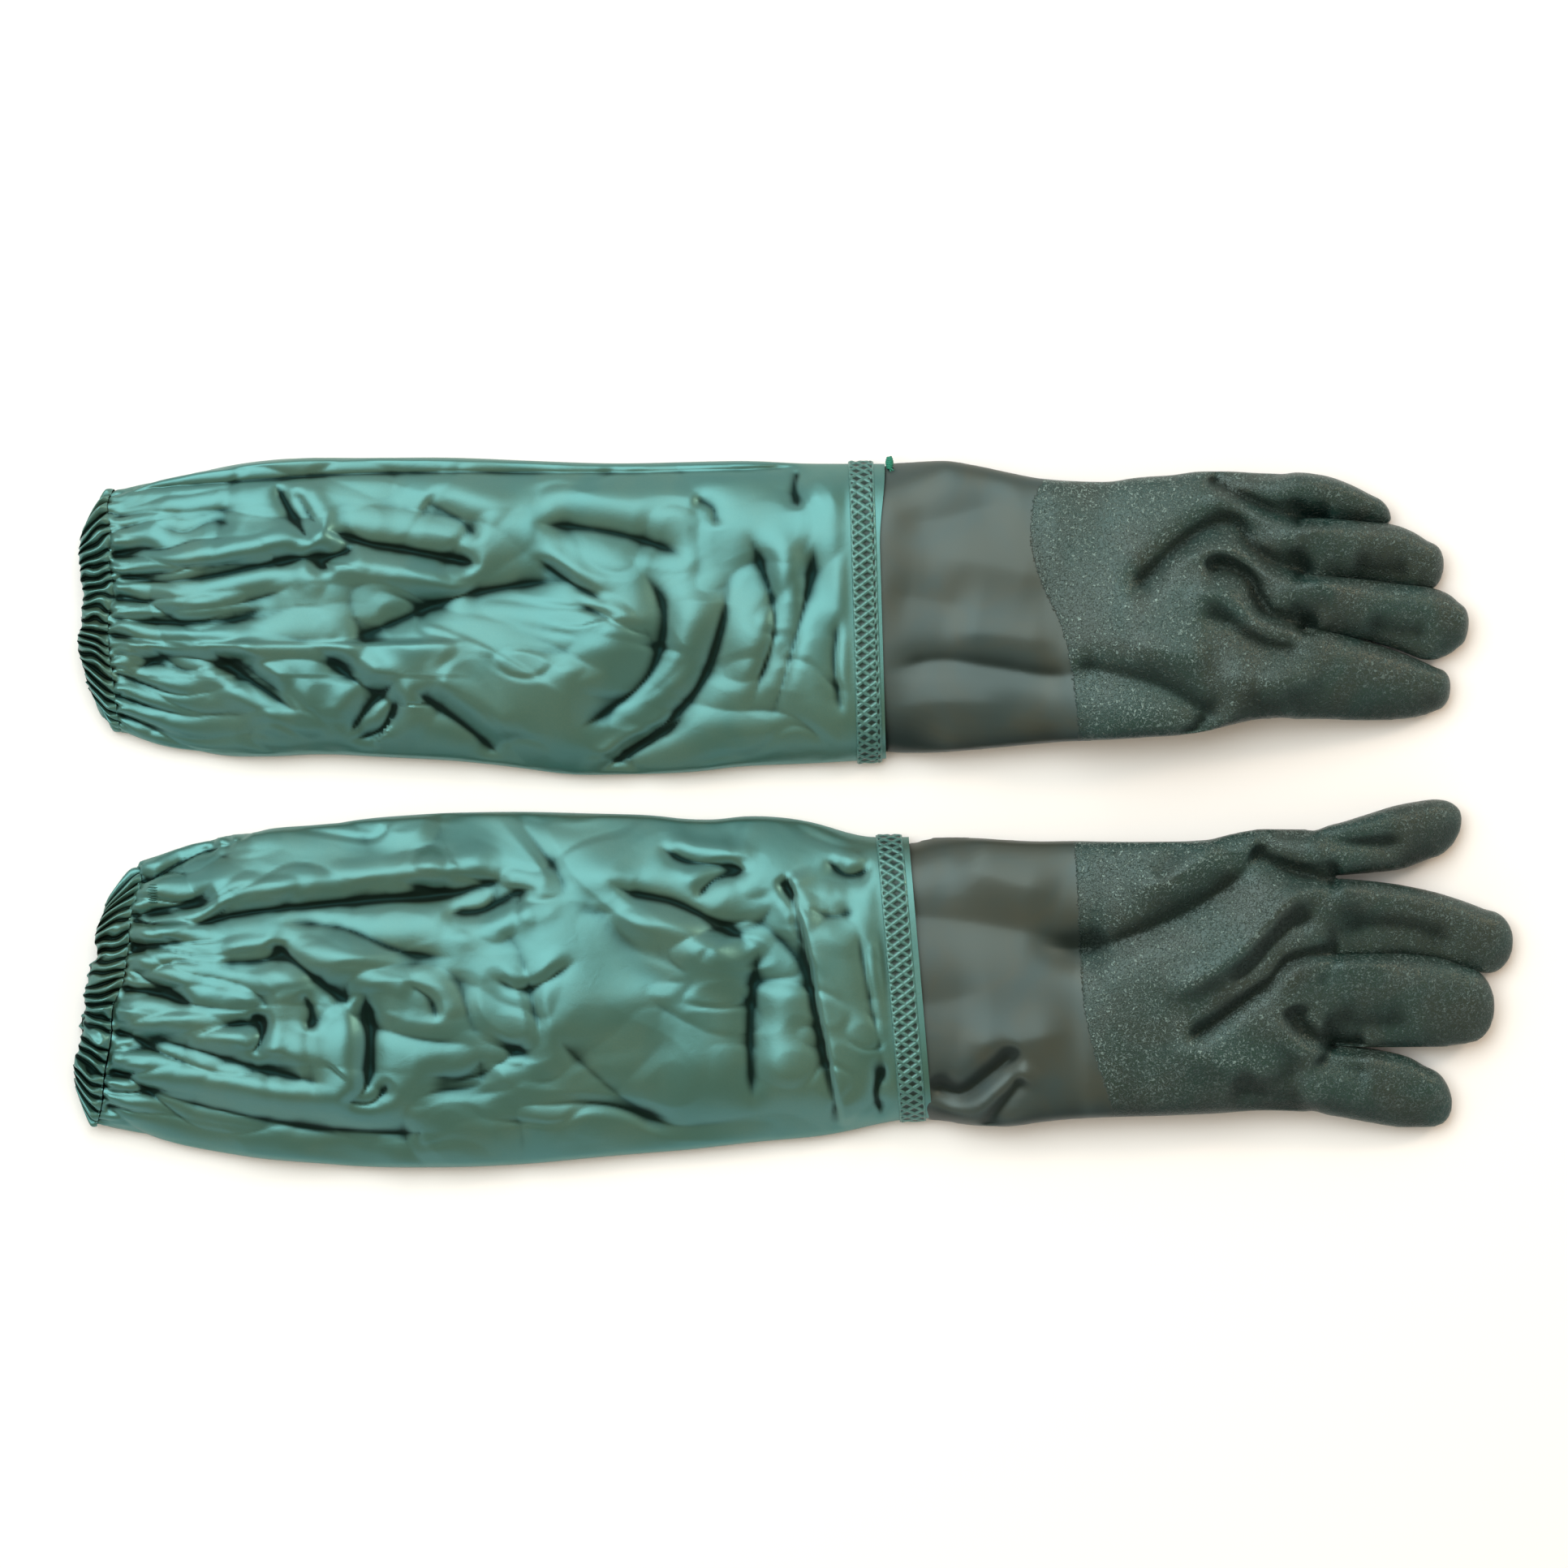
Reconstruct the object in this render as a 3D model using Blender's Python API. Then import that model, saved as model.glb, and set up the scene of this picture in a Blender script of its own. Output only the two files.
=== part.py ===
"""A pair of beekeeping gauntlet gloves lying flat, side by side, with the backs of the hands up.

Each glove is a dipped PVC hand and cuff over a knitted liner, with a long coated-fabric sleeve
welded round the cuff and gathered at its mouth by an elastic that runs inside the hem.
+X points to the fingertips, +Y from the right glove to the left one, +Z up. The origin is on the
resting surface, under the middle of the pair. Lengths are millimetres; MM turns them into metres.
"""

import math
from collections import namedtuple

import bmesh
import bpy
from mathutils import Matrix, Vector

MM = 0.001

# Walls and clearances
COAT = 1.4  # PVC wall of the hand and cuff
LINER = 0.8  # knitted liner inside it
FABRIC = 0.7  # coated sleeve fabric
GAP = 0.3  # clearance between pieces that touch
BAND = 0.8  # weld band around the sleeve's end
HEM_DEPTH = 3.0  # the hem's two fabric walls with the elastic between them

# Section shape: a flattened tube has a flat middle and two half-oval sides
FLAT_SHARE = 0.56  # share of the width that is flat, top and bottom
SLEEVE_ARC = 6  # straight steps in each half-oval side of a sleeve, cuff or palm
DIGIT_ARC = 4  # the same for a finger or thumb

Station = namedtuple("Station", "x y_low y_high z_low z_high skew", defaults=(0.0,))
Finger = namedtuple("Finger", "name y_low y_high tip_x tip_y tip_width")
Glove = namedtuple("Glove", "side outward sleeve hand fingers fold_x band thumb_base")

# Stations along each glove. outward is the Y direction of the index finger's side.
LEFT = Glove(
    side="left",
    outward=-1,
    sleeve=(
        Station(-324, 48, 134, 1.1, 17),  # mouth
        Station(-309, 39, 146, 1.1, 21),  # hem stitch line
        Station(-272, 27, 156, 0, 28),
        Station(-213, 25, 162.2, 0, 32),
        Station(-130, 20, 161.5, 0, 32),
        Station(-50, 17, 160, 0, 31),
        Station(9, 21.5, 159.5, 0, 29),
        Station(26, 23, 158.8, 1.5, 28.5),
        Station(44, 24.5, 158.6, 1.5, 28),
    ),
    hand=(
        Station(24, 24.6, 157.2, 2.9, 27.0),
        Station(46, 26.2, 157.0, 2.9, 26.6),
        Station(68, 26.6, 158.5, 0, 27),
        Station(98, 29.6, 154.7, 0, 28),
        Station(116, 31.1, 151.7, 0, 28),  # wrist
        Station(136, 32.2, 150.5, 14.6, 37),
        Station(171, 34.4, 153.0, 14.6, 38),
        Station(198, 39.2, 155.0, 14.6, 36),
        Station(222, 42.6, 153.9, 12.0, 32),  # knuckles
    ),
    fingers=(
        Finger("little", 132.0, 153.9, 272, 137, 15),
        Finger("ring", 109.3, 131.6, 296, 110.5, 17),
        Finger("middle", 85.8, 108.8, 307, 85.5, 24),
        Finger("index", 42.6, 85.3, 299, 58, 24),
    ),
    fold_x=-130,
    band=(27, 40, -0.03),
    thumb_base=(164, 57),
)
RIGHT = Glove(
    side="right",
    outward=1,
    sleeve=(
        Station(-321.3, -133, -46, 1.1, 17, 0.16),  # mouth
        Station(-306.3, -142, -34, 1.1, 21, 0.16),  # hem stitch line
        Station(-272, -152.5, -14.5, 0, 28, 0.08),
        Station(-213, -160.5, -4, 0, 32),
        Station(-130, -162.2, 1.2, 0, 32),
        Station(-50, -154.7, -2.2, 0, 31),
        Station(9, -148.7, -3.5, 0, 29),
        Station(40, -142.6, -9.8, 1.5, 28.5, -0.085),
        Station(57, -140.4, -10.4, 1.5, 28, -0.085),
    ),
    hand=(
        Station(38, -141.0, -11.4, 2.9, 27.0, -0.085),
        Station(59, -138.8, -12.0, 2.9, 26.6, -0.085),
        Station(80, -141.8, -11.0, 0, 27),
        Station(108, -141.4, -12.4, 0, 28),
        Station(131, -139.1, -12.6, 0, 28),  # wrist
        Station(151, -138.4, -13.0, 14.6, 37),
        Station(186, -136.9, -12.2, 14.6, 38),
        Station(213, -135.4, -6.7, 14.6, 36),
        Station(238, -136.9, -6.3, 12.0, 32),  # knuckles
    ),
    fingers=(
        Finger("index", -31.0, -6.3, 305, -4.8, 20),
        Finger("middle", -64.3, -31.4, 328, -59.5, 25),
        Finger("ring", -104.7, -64.7, 319, -89.5, 28),
        Finger("little", -136.9, -105.1, 299, -131, 24),
    ),
    fold_x=-130,
    band=(41, 54, -0.085),
    thumb_base=(181, -37),
)
MOUTH, STITCH_LINE = 0, 1  # places in the sleeve's list of stations
WRIST, KNUCKLES = 4, 8  # places in the hand's list of stations

# A finger from its base to its tip: share of length, share of width, underside, top
FINGER_PROFILE = (
    (0.00, 1.00, 12.0, 32.0),
    (0.35, 1.00, 5.5, 26.5),
    (0.72, 0.97, 0.8, 19.5),
    (0.92, 0.80, 0.0, 15.5),
    (1.00, 0.45, 3.0, 11.0),
)
# The thumb, lying under the palm, from heel to tip along its own length
THUMB_PROFILE = (
    Station(-16.5, -6, 6, 3, 11),
    Station(-12, -12, 12, 0.6, 13.6),
    Station(0, -16.5, 16.5, 0, 14),
    Station(28, -15, 15, 0, 13),
    Station(45, -13.5, 13.5, 0, 11.5),
    Station(54, -10, 10, 0.8, 10.5),
    Station(58, -5, 5, 3, 8.5),
)
THUMB_TUCK = math.radians(40)  # the thumb points this far in under the palm
THUMB_MOUTH = 11.5  # radius of the opening between thumb and palm
KNOT_RADIUS = 1.8

# Colour (linear RGB) and roughness of each material
LOOKS = {
    "rough_pvc": ((0.017, 0.068, 0.060), 0.75),
    "smooth_pvc": ((0.085, 0.120, 0.105), 0.45),
    "sleeve_fabric": ((0.060, 0.170, 0.150), 0.30),
    "weld_tape": ((0.050, 0.120, 0.105), 0.40),
    "cotton_knit": ((0.600, 0.580, 0.520), 0.90),
    "elastic_web": ((0.750, 0.740, 0.700), 0.80),
    "green_thread": ((0.020, 0.080, 0.070), 0.70),
}


def clear_scene():
    for old in list(bpy.data.objects):
        bpy.data.objects.remove(old, do_unlink=True)


def make_material(name, color, roughness):
    material = bpy.data.materials.new(name)
    material.use_nodes = True
    shader = material.node_tree.nodes["Principled BSDF"]
    shader.inputs["Base Color"].default_value = (*color, 1.0)
    shader.inputs["Roughness"].default_value = roughness
    shader.inputs["Metallic"].default_value = 0.0
    return material


# ---------------------------------------------------------------- sections


def at(stations, x):
    """The section at x, read straight between the two nearest stations."""
    for first, second in zip(stations, stations[1:]):
        if x <= second.x:
            break
    share = (x - first.x) / (second.x - first.x)
    return Station(*(a + (b - a) * share for a, b in zip(first, second)))


def between(stations, start, end):
    """The sections from start to end, with the stations that lie between them."""
    inner = [s for s in stations if start + 1 < s.x < end - 1]
    return [at(stations, start), *inner, at(stations, end)]


def oval(station, inset, steps):
    """One closed section, drawn in by inset: half-oval sides joined by flat top and bottom."""
    middle = (station.y_low + station.y_high) / 2
    half_width = (station.y_high - station.y_low) / 2
    half_height = (station.z_high - station.z_low) / 2
    flat = half_width * FLAT_SHARE
    across = half_width - flat - inset
    up = half_height - inset
    points = []
    for side, start in ((1, -90), (-1, 90)):
        for step in range(steps + 1):
            angle = math.radians(start + 180 * step / steps)
            y = side * flat + across * math.cos(angle)
            z = station.z_low + half_height + up * math.sin(angle)
            points.append(Vector((station.x + station.skew * y, middle + y, z)))
    return points


def skin(rings, closed):
    """A mesh through equal rings: closed joins the last ring to the first, else both are capped.

    Every four-sided patch is split along the same diagonal, so that walls laid inside one
    another stay parallel where the tube twists.
    """
    mesh = bmesh.new()
    rows = [[mesh.verts.new(point * MM) for point in ring] for ring in rings]
    following = rows[1:] + rows[:1] if closed else rows[1:]
    for near, far in zip(rows, following):
        rear, front = sorted((near, far), key=lambda row: row[0].co.x)
        for i in range(len(near)):
            k = (i + 1) % len(near)
            mesh.faces.new((rear[i], rear[k], front[k]))
            mesh.faces.new((rear[i], front[k], front[i]))
    if not closed:
        mesh.faces.new(rows[0])
        mesh.faces.new(rows[-1])
    bmesh.ops.recalc_face_normals(mesh, faces=mesh.faces)
    return mesh


# ------------------------------------------------------------ bodies and nodes


class Body:
    """An empty on a joint's axis that carries the pieces moving with it."""

    def __init__(self, name, origin, parent=None):
        self.origin = Vector(origin)
        self.empty = bpy.data.objects.new(name, None)
        bpy.context.collection.objects.link(self.empty)
        self.empty.location = self.origin * MM
        if parent:
            self.empty.parent = parent.empty
            self.empty.location = (self.origin - parent.origin) * MM

    def add(self, name, mesh, material):
        """Makes the mesh, given in the pair's own frame, a node of this body."""
        bmesh.ops.translate(mesh, verts=mesh.verts, vec=-self.origin * MM)
        data = bpy.data.meshes.new(name)
        mesh.to_mesh(data)
        mesh.free()
        data.materials.append(material)
        data.shade_smooth()
        data.set_sharp_from_angle(angle=math.radians(35))
        node = bpy.data.objects.new(name, data)
        bpy.context.collection.objects.link(node)
        node.parent = self.empty
        return node

    def cutter(self, name, mesh, *targets):
        """Cuts the mesh out of each target; the cutter itself is only a guide."""
        tool = self.add(name, mesh, bpy.data.materials["cotton_knit"])
        tool.hide_render = True
        tool.display_type = "WIRE"
        for target in targets:
            cut = target.modifiers.new(name, "BOOLEAN")
            cut.operation = "DIFFERENCE"
            cut.solver = "EXACT"
            cut.object = tool


def tube(sections, outer, wall, steps=SLEEVE_ARC):
    """A sleeve open at both ends: outer is how far its outside lies inside the sections."""
    outside = [oval(s, outer, steps) for s in sections]
    inside = [oval(s, outer + wall, steps) for s in reversed(sections)]
    return skin(outside + inside, closed=True)


def hoop(stations, profile, steps=SLEEVE_ARC):
    """A ring around the glove with a closed profile of (x, inset) points."""
    return skin([oval(at(stations, x), inset, steps) for x, inset in profile], closed=True)


def pulled_back(sections, inset):
    """The sections with the last ones drawn back by inset along X, so an end wall keeps its depth."""
    start, length = sections[0].x, sections[-1].x - sections[0].x
    return [s._replace(x=start + (s.x - start) * (length - inset) / length) for s in sections]


def stall(sections, outer, wall):
    """A finger stall: open at its base, closed at its tip."""
    outside = [oval(s, outer, DIGIT_ARC) for s in pulled_back(sections, outer)]
    inside = [oval(s, outer + wall, DIGIT_ARC) for s in pulled_back(sections, outer + wall)]
    return skin(outside[::-1] + inside, closed=False)


def side_strip(sections, side, inset, thickness):
    """A narrow tape lying under one facet of the sleeve's upper side, on the given side of it."""
    first = SLEEVE_ARC - 2 if side > 0 else SLEEVE_ARC + 2
    rings = []
    for section in sections:
        near = oval(section, inset, SLEEVE_ARC)
        far = oval(section, inset + thickness, SLEEVE_ARC)
        rings.append([near[first], near[first + 1], far[first + 1], far[first]])
    return skin(rings, closed=False)


def round_rod(centre, radius, z_low, z_high):
    """An upright cylinder, for cutting the opening between thumb and palm."""
    mesh = bmesh.new()
    place = Matrix.Translation(Vector((*centre, (z_low + z_high) / 2)) * MM)
    bmesh.ops.create_cone(
        mesh,
        cap_ends=True,
        segments=20,
        radius1=radius * MM,
        radius2=radius * MM,
        depth=(z_high - z_low) * MM,
        matrix=place,
    )
    return mesh


# ------------------------------------------------------------ parts of a glove


def make_hem(glove, body):
    """The gathered mouth: a U of folded fabric, the elastic inside it and the stitch that shuts it."""
    name, sleeve = glove.side, glove.sleeve
    mouth, stitch = sleeve[MOUTH].x, sleeve[STITCH_LINE].x
    inner = HEM_DEPTH - FABRIC
    casing = (
        (stitch, 0),
        (mouth + 1, 0),
        (mouth, HEM_DEPTH / 2),
        (mouth + 1, HEM_DEPTH),
        (stitch, HEM_DEPTH),
        (stitch, inner),
        (mouth + 1.8, inner),
        (mouth + 1.8, FABRIC),
        (stitch, FABRIC),
    )
    body.add(f"{name}_hem_casing", hoop(sleeve, casing), bpy.data.materials["sleeve_fabric"])
    low, high = FABRIC + GAP, inner - GAP
    band = ((mouth + 2.5, low), (mouth + 2.5, high), (stitch - 2, high), (stitch - 2, low))
    body.add(f"{name}_hem_elastic", hoop(sleeve, band), bpy.data.materials["elastic_web"])
    thread = [(stitch - x, -GAP - z) for x, z in ((1.2, 0), (1.2, 0.5), (1.9, 0.5), (1.9, 0))]
    body.add(f"{name}_hem_stitch", hoop(sleeve, thread), bpy.data.materials["green_thread"])


def make_sleeve(glove, upper, forearm):
    """The sleeve as two lengths that meet where it folds, each with its seam tape inside."""
    start, end = glove.sleeve[STITCH_LINE].x, glove.sleeve[-1].x
    fabric, tape = bpy.data.materials["sleeve_fabric"], bpy.data.materials["weld_tape"]
    lengths = (
        ("upper", upper, start + GAP, glove.fold_x - GAP / 2),
        ("lower", forearm, glove.fold_x + GAP / 2, end),
    )
    for label, body, low, high in lengths:
        sections = between(glove.sleeve, low, high)
        body.add(f"{glove.side}_sleeve_{label}", tube(sections, 0, FABRIC), fabric)
        taped = between(glove.sleeve, max(low, start + 3), min(high, glove.band[0] - 8))
        strip = side_strip(taped, -glove.outward, FABRIC + GAP, FABRIC)
        body.add(f"{glove.side}_seam_tape_{label}", strip, tape)


def make_band(glove, body):
    """The embossed weld band that joins the sleeve's end to the cuff, drawn here as a plain hoop."""
    start, end, skew = glove.band
    sleeve = [s._replace(skew=skew) if s.x > start - 5 else s for s in glove.sleeve]
    profile = [(x, -GAP - z) for x, z in ((start, 0), (start, BAND), (end, BAND), (end, 0))]
    body.add(f"{glove.side}_weld_band", hoop(sleeve, profile), bpy.data.materials["weld_tape"])


def make_hand_tube(glove, name, body, start, end, material):
    """A length of the dipped hand, the cuff or the palm, with its liner inside."""
    sections = between(glove.hand, start, end)
    coat = body.add(f"{glove.side}_{name}", tube(sections, 0, COAT), material)
    knit = tube(sections, COAT + GAP, LINER)
    liner = body.add(f"{glove.side}_{name}_liner", knit, bpy.data.materials["cotton_knit"])
    return coat, liner


def finger_sections(finger, base_x):
    """Sections from the finger's base, at the knuckles, to its tip."""
    base_y, base_width = (finger.y_low + finger.y_high) / 2, finger.y_high - finger.y_low
    sections = []
    for share, fullness, z_low, z_high in FINGER_PROFILE:
        x = base_x + (finger.tip_x - base_x) * share
        y = base_y + (finger.tip_y - base_y) * share
        half = (base_width + (finger.tip_width - base_width) * share) * fullness / 2
        sections.append(Station(x, y - half, y + half, z_low, z_high))
    return sections


def make_finger(glove, finger, hand):
    """A finger stall and its liner on their own hinge across the top of the knuckles."""
    base_x = glove.hand[KNUCKLES].x
    hinge = (base_x, (finger.y_low + finger.y_high) / 2, glove.hand[KNUCKLES].z_high)
    name = f"{glove.side}_{finger.name}"
    body = Body(f"{name}_body", hinge, hand)
    sections = finger_sections(finger, base_x + GAP / 2)
    body.add(f"{name}_finger", stall(sections, 0, COAT), bpy.data.materials["rough_pvc"])
    knit = stall(sections, COAT + GAP, LINER)
    body.add(f"{name}_finger_liner", knit, bpy.data.materials["cotton_knit"])


def thumb_capsule(glove, inset):
    """A closed capsule the shape of the thumb, drawn in by inset and laid under the palm."""
    length = THUMB_PROFILE[-1].x - THUMB_PROFILE[0].x
    shrink = (length - 2 * inset) / length
    middle = (THUMB_PROFILE[-1].x + THUMB_PROFILE[0].x) / 2
    sections = [s._replace(x=middle + (s.x - middle) * shrink) for s in THUMB_PROFILE]
    mesh = skin([oval(s, inset, DIGIT_ARC) for s in sections], closed=False)
    turn = Matrix.Rotation(-glove.outward * THUMB_TUCK, 4, "Z")
    base = Matrix.Translation(Vector((*glove.thumb_base, 0)) * MM)
    bmesh.ops.transform(mesh, matrix=base @ turn, verts=mesh.verts)
    return mesh


def make_thumb(glove, palm, liner, hand):
    """The thumb stall lies under the palm and swings about the round opening it shares with it."""
    base, name = glove.thumb_base, f"{glove.side}_thumb"
    top = THUMB_PROFILE[2].z_high
    body = Body(f"{name}_body", (*base, top), hand)
    coat = body.add(name, thumb_capsule(glove, 0), bpy.data.materials["rough_pvc"])
    inside = COAT + GAP
    knit_mesh = thumb_capsule(glove, inside)
    knit = body.add(f"{name}_liner", knit_mesh, bpy.data.materials["cotton_knit"])
    body.cutter(f"cut_{name}_hollow", thumb_capsule(glove, COAT), coat)
    body.cutter(f"cut_{name}_liner_hollow", thumb_capsule(glove, inside + LINER), knit)
    mouth = round_rod(base, THUMB_MOUTH, top - 7, top + 4)
    body.cutter(f"cut_{name}_mouth", mouth, coat, knit)
    floor = glove.hand[WRIST + 2].z_low
    opening = round_rod(base, THUMB_MOUTH, floor - 4, floor + 8)
    hand.cutter(f"cut_{name}_palm", opening, palm, liner)


def make_knot(glove, body):
    """The thread knot that ends the sleeve's seam, at the cuff's edge on the little finger's side."""
    cuff = at(glove.hand, glove.sleeve[-1].x + KNOT_RADIUS + 1)
    centre = Vector((cuff.x, cuff.y_high + KNOT_RADIUS + GAP, (cuff.z_low + cuff.z_high) / 2))
    mesh = bmesh.new()
    place = Matrix.Translation(centre * MM)
    bmesh.ops.create_icosphere(mesh, subdivisions=1, radius=KNOT_RADIUS * MM, matrix=place)
    body.add(f"{glove.side}_seam_knot", mesh, bpy.data.materials["green_thread"])


def make_glove(glove):
    wrist = glove.hand[WRIST]
    fold = at(glove.sleeve, glove.fold_x)
    fold_y, wrist_y = (fold.y_low + fold.y_high) / 2, (wrist.y_low + wrist.y_high) / 2
    forearm = Body(f"{glove.side}_forearm_body", (0, fold_y, 0))
    upper = Body(f"{glove.side}_sleeve_body", (fold.x, fold_y, fold.z_high), forearm)
    hand = Body(f"{glove.side}_hand_body", (wrist.x, wrist_y, wrist.z_high), forearm)

    make_hem(glove, upper)
    make_sleeve(glove, upper, forearm)
    make_band(glove, forearm)
    cuff_end, palm_end = wrist.x - GAP / 2, glove.hand[KNUCKLES].x - GAP / 2
    smooth, rough = bpy.data.materials["smooth_pvc"], bpy.data.materials["rough_pvc"]
    make_hand_tube(glove, "cuff", forearm, glove.hand[0].x, cuff_end, smooth)
    palm, liner = make_hand_tube(glove, "palm", hand, wrist.x + GAP / 2, palm_end, rough)
    for finger in glove.fingers:
        make_finger(glove, finger, hand)
    make_thumb(glove, palm, liner, hand)
    return forearm


def main():
    clear_scene()
    for name, (color, roughness) in LOOKS.items():
        make_material(name, color, roughness)
    left = make_glove(LEFT)
    make_glove(RIGHT)
    make_knot(LEFT, left)
    bpy.context.view_layer.update()


main()
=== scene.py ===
"""The looks of a pair of beekeeping gauntlets that lie flat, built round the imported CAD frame.

Lengths in this script are millimetres in the pair's own frame, +X to the fingertips, +Y from the
right glove to the left one, +Z up. MM turns them into metres where a mesh is made.
"""

import math

import bmesh
import bpy
import numpy as np
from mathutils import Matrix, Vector


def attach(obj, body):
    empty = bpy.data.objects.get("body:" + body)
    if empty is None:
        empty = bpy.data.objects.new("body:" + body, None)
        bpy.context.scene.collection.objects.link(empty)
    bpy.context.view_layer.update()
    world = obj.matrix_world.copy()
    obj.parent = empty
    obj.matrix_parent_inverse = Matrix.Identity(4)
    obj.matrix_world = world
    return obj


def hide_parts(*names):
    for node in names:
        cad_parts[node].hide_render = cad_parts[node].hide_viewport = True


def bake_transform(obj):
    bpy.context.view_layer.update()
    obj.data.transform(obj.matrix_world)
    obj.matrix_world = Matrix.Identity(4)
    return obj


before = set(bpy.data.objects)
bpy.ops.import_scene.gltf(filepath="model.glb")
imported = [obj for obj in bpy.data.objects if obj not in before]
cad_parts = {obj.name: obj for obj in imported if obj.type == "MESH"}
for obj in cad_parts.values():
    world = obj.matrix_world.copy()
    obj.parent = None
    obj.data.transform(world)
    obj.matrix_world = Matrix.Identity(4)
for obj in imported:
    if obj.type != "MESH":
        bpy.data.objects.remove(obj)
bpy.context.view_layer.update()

MM = 0.001
FINGERS = ("little", "ring", "middle", "index")


# ------------------------------------------------------------------ small maths


def smooth(value, low=0.0, high=1.0):
    """0 below low, 1 above high and an S-curve between them."""
    t = np.clip((np.asarray(value, float) - low) / (high - low), 0, 1)
    return t * t * (3 - 2 * t)


def curve(xs, ys, x):
    """A smooth line through the points (xs, ys), read at x; it never swings past its points."""
    xs, ys, x = np.asarray(xs, float), np.asarray(ys, float), np.asarray(x, float)
    steps = np.diff(xs)
    slopes = np.diff(ys) / steps
    both = slopes[:-1] + slopes[1:]
    inner = np.where(
        slopes[:-1] * slopes[1:] > 0,
        2 * slopes[:-1] * slopes[1:] / np.where(both == 0, 1, both),
        0,
    )
    tangents = np.concatenate([[slopes[0]], inner, [slopes[-1]]])
    i = np.clip(np.searchsorted(xs, x) - 1, 0, len(steps) - 1)
    h = steps[i]
    t = np.clip((x - xs[i]) / h, 0, 1)
    return (
        (2 * t**3 - 3 * t**2 + 1) * ys[i]
        + (t**3 - 2 * t**2 + t) * h * tangents[i]
        + (3 * t**2 - 2 * t**3) * ys[i + 1]
        + (t**3 - t**2) * h * tangents[i + 1]
    )


def read_at(table, x, column=1):
    """One number from a table whose rows start with their x, on a smooth line through the rows."""
    table = np.asarray(table, float)
    return float(curve(table[:, 0], table[:, column], np.array([x]))[0])


def through(a, b, c, d, t):
    """The smooth curve from b to c that keeps a and d as its neighbours, read at t from 0 to 1."""
    return 0.5 * (2 * b + (c - a) * t + (2 * a - 5 * b + 4 * c - d) * t**2 + (3 * b - a - 3 * c + d) * t**3)


def rounded(points, count):
    """Points along a smooth open curve through a few given points."""
    p = np.asarray(points, float)
    if len(p) == 2:
        return p[0] + (p[1] - p[0]) * np.linspace(0, 1, count)[:, None]
    length = np.concatenate([[0], np.cumsum(np.linalg.norm(np.diff(p, axis=0), axis=1))])
    p = np.vstack([2 * p[0] - p[1], p, 2 * p[-1] - p[-2]])
    at = np.linspace(0, length[-1], count)
    i = np.clip(np.searchsorted(length, at, side="right") - 1, 0, len(length) - 2)
    t = ((at - length[i]) / (length[i + 1] - length[i]))[:, None]
    return through(p[i], p[i + 1], p[i + 2], p[i + 3], t)


def value_noise(x, y, seed, wrap=None):
    """Smooth noise from -1 to 1 at points (x, y), one lump per unit; wrap closes it along y."""
    table = np.random.default_rng(seed).uniform(-1, 1, (256, 256))
    x0, y0 = np.floor(x).astype(int), np.floor(y).astype(int)
    fx, fy = x - x0, y - y0
    fx, fy = fx * fx * (3 - 2 * fx), fy * fy * (3 - 2 * fy)
    period = wrap or 256
    ya, yb = np.mod(y0, period), np.mod(y0 + 1, period)
    xa, xb = np.mod(x0, 256), np.mod(x0 + 1, 256)
    near = table[xa, ya] * (1 - fx) + table[xb, ya] * fx
    far = table[xa, yb] * (1 - fx) + table[xb, yb] * fx
    return near * (1 - fy) + far * fy


# ------------------------------------------------------------------- folds

FOLD_POINTS = 36  # points along the line of each fold
FLANGE_WIDTH = 7.5  # how far from its line a flange goes on rising

def fold(width, depth, *points, ridge=0.0, step=0.0, taper=0.25, power=1.5, flange=0.0):
    """A crease seen from above: a valley of that depth (a ridge if depth is negative) along a
    smooth line. ridge adds a swelling beside it, on the left of its direction if positive, and
    step lifts the fabric on the left of the line and lets it fall back further out. flange
    tips the fabric up on the left of the line, by that many millimetres for each millimetre."""
    shape = {"width": width, "depth": depth, "ridge": ridge, "step": step, "flange": flange}
    return {"line": rounded(points, FOLD_POINTS), "taper": taper, "power": power, **shape}


def folded(xy, folds):
    """The height that the folds add at each point of xy."""
    height = np.zeros(len(xy))
    for f in folds:
        line, w = f["line"], f["width"]
        reach = max(7 * w if f["step"] else 4.5 * w, 12 if f["flange"] else 0)
        low, high = line.min(0) - reach, line.max(0) + reach
        near = np.nonzero(((xy > low) & (xy < high)).all(1))[0]
        if not len(near):
            continue
        start, along = line[:-1], np.diff(line, axis=0)
        size = (along**2).sum(1)
        away = xy[near][:, None, :] - start[None]
        share = np.clip((away * along).sum(2) / size, 0, 1)
        away -= share[..., None] * along
        square = (away**2).sum(2)
        best = square.argmin(1)
        pick = np.arange(len(near))
        gap = away[pick, best]
        side = along[best, 0] * gap[:, 1] - along[best, 1] * gap[:, 0]
        d = np.sign(side) * np.sqrt(square[pick, best])
        t = (best + share[pick, best]) / len(start)
        fade = smooth(np.minimum(t, 1 - t) / f["taper"])
        added = -f["depth"] * np.exp(-((np.abs(d) / w) ** f["power"]))
        if f["ridge"]:
            sign = np.sign(f["ridge"])
            added += abs(f["ridge"]) * np.exp(-(((d - sign * 1.9 * w) / (1.3 * w)) ** 2))
        if f["step"]:
            sign = np.sign(f["step"])
            rise = 0.5 + 0.5 * np.tanh(1.6 * sign * d / w)
            added += abs(f["step"]) * rise * np.exp(-np.maximum(sign * d, 0) / (3.2 * w))
        added += f["flange"] * np.clip(d, 0, FLANGE_WIDTH)
        height[near] += added * fade
    return height


# ------------------------------------------------------------- outlines of the pair

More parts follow.
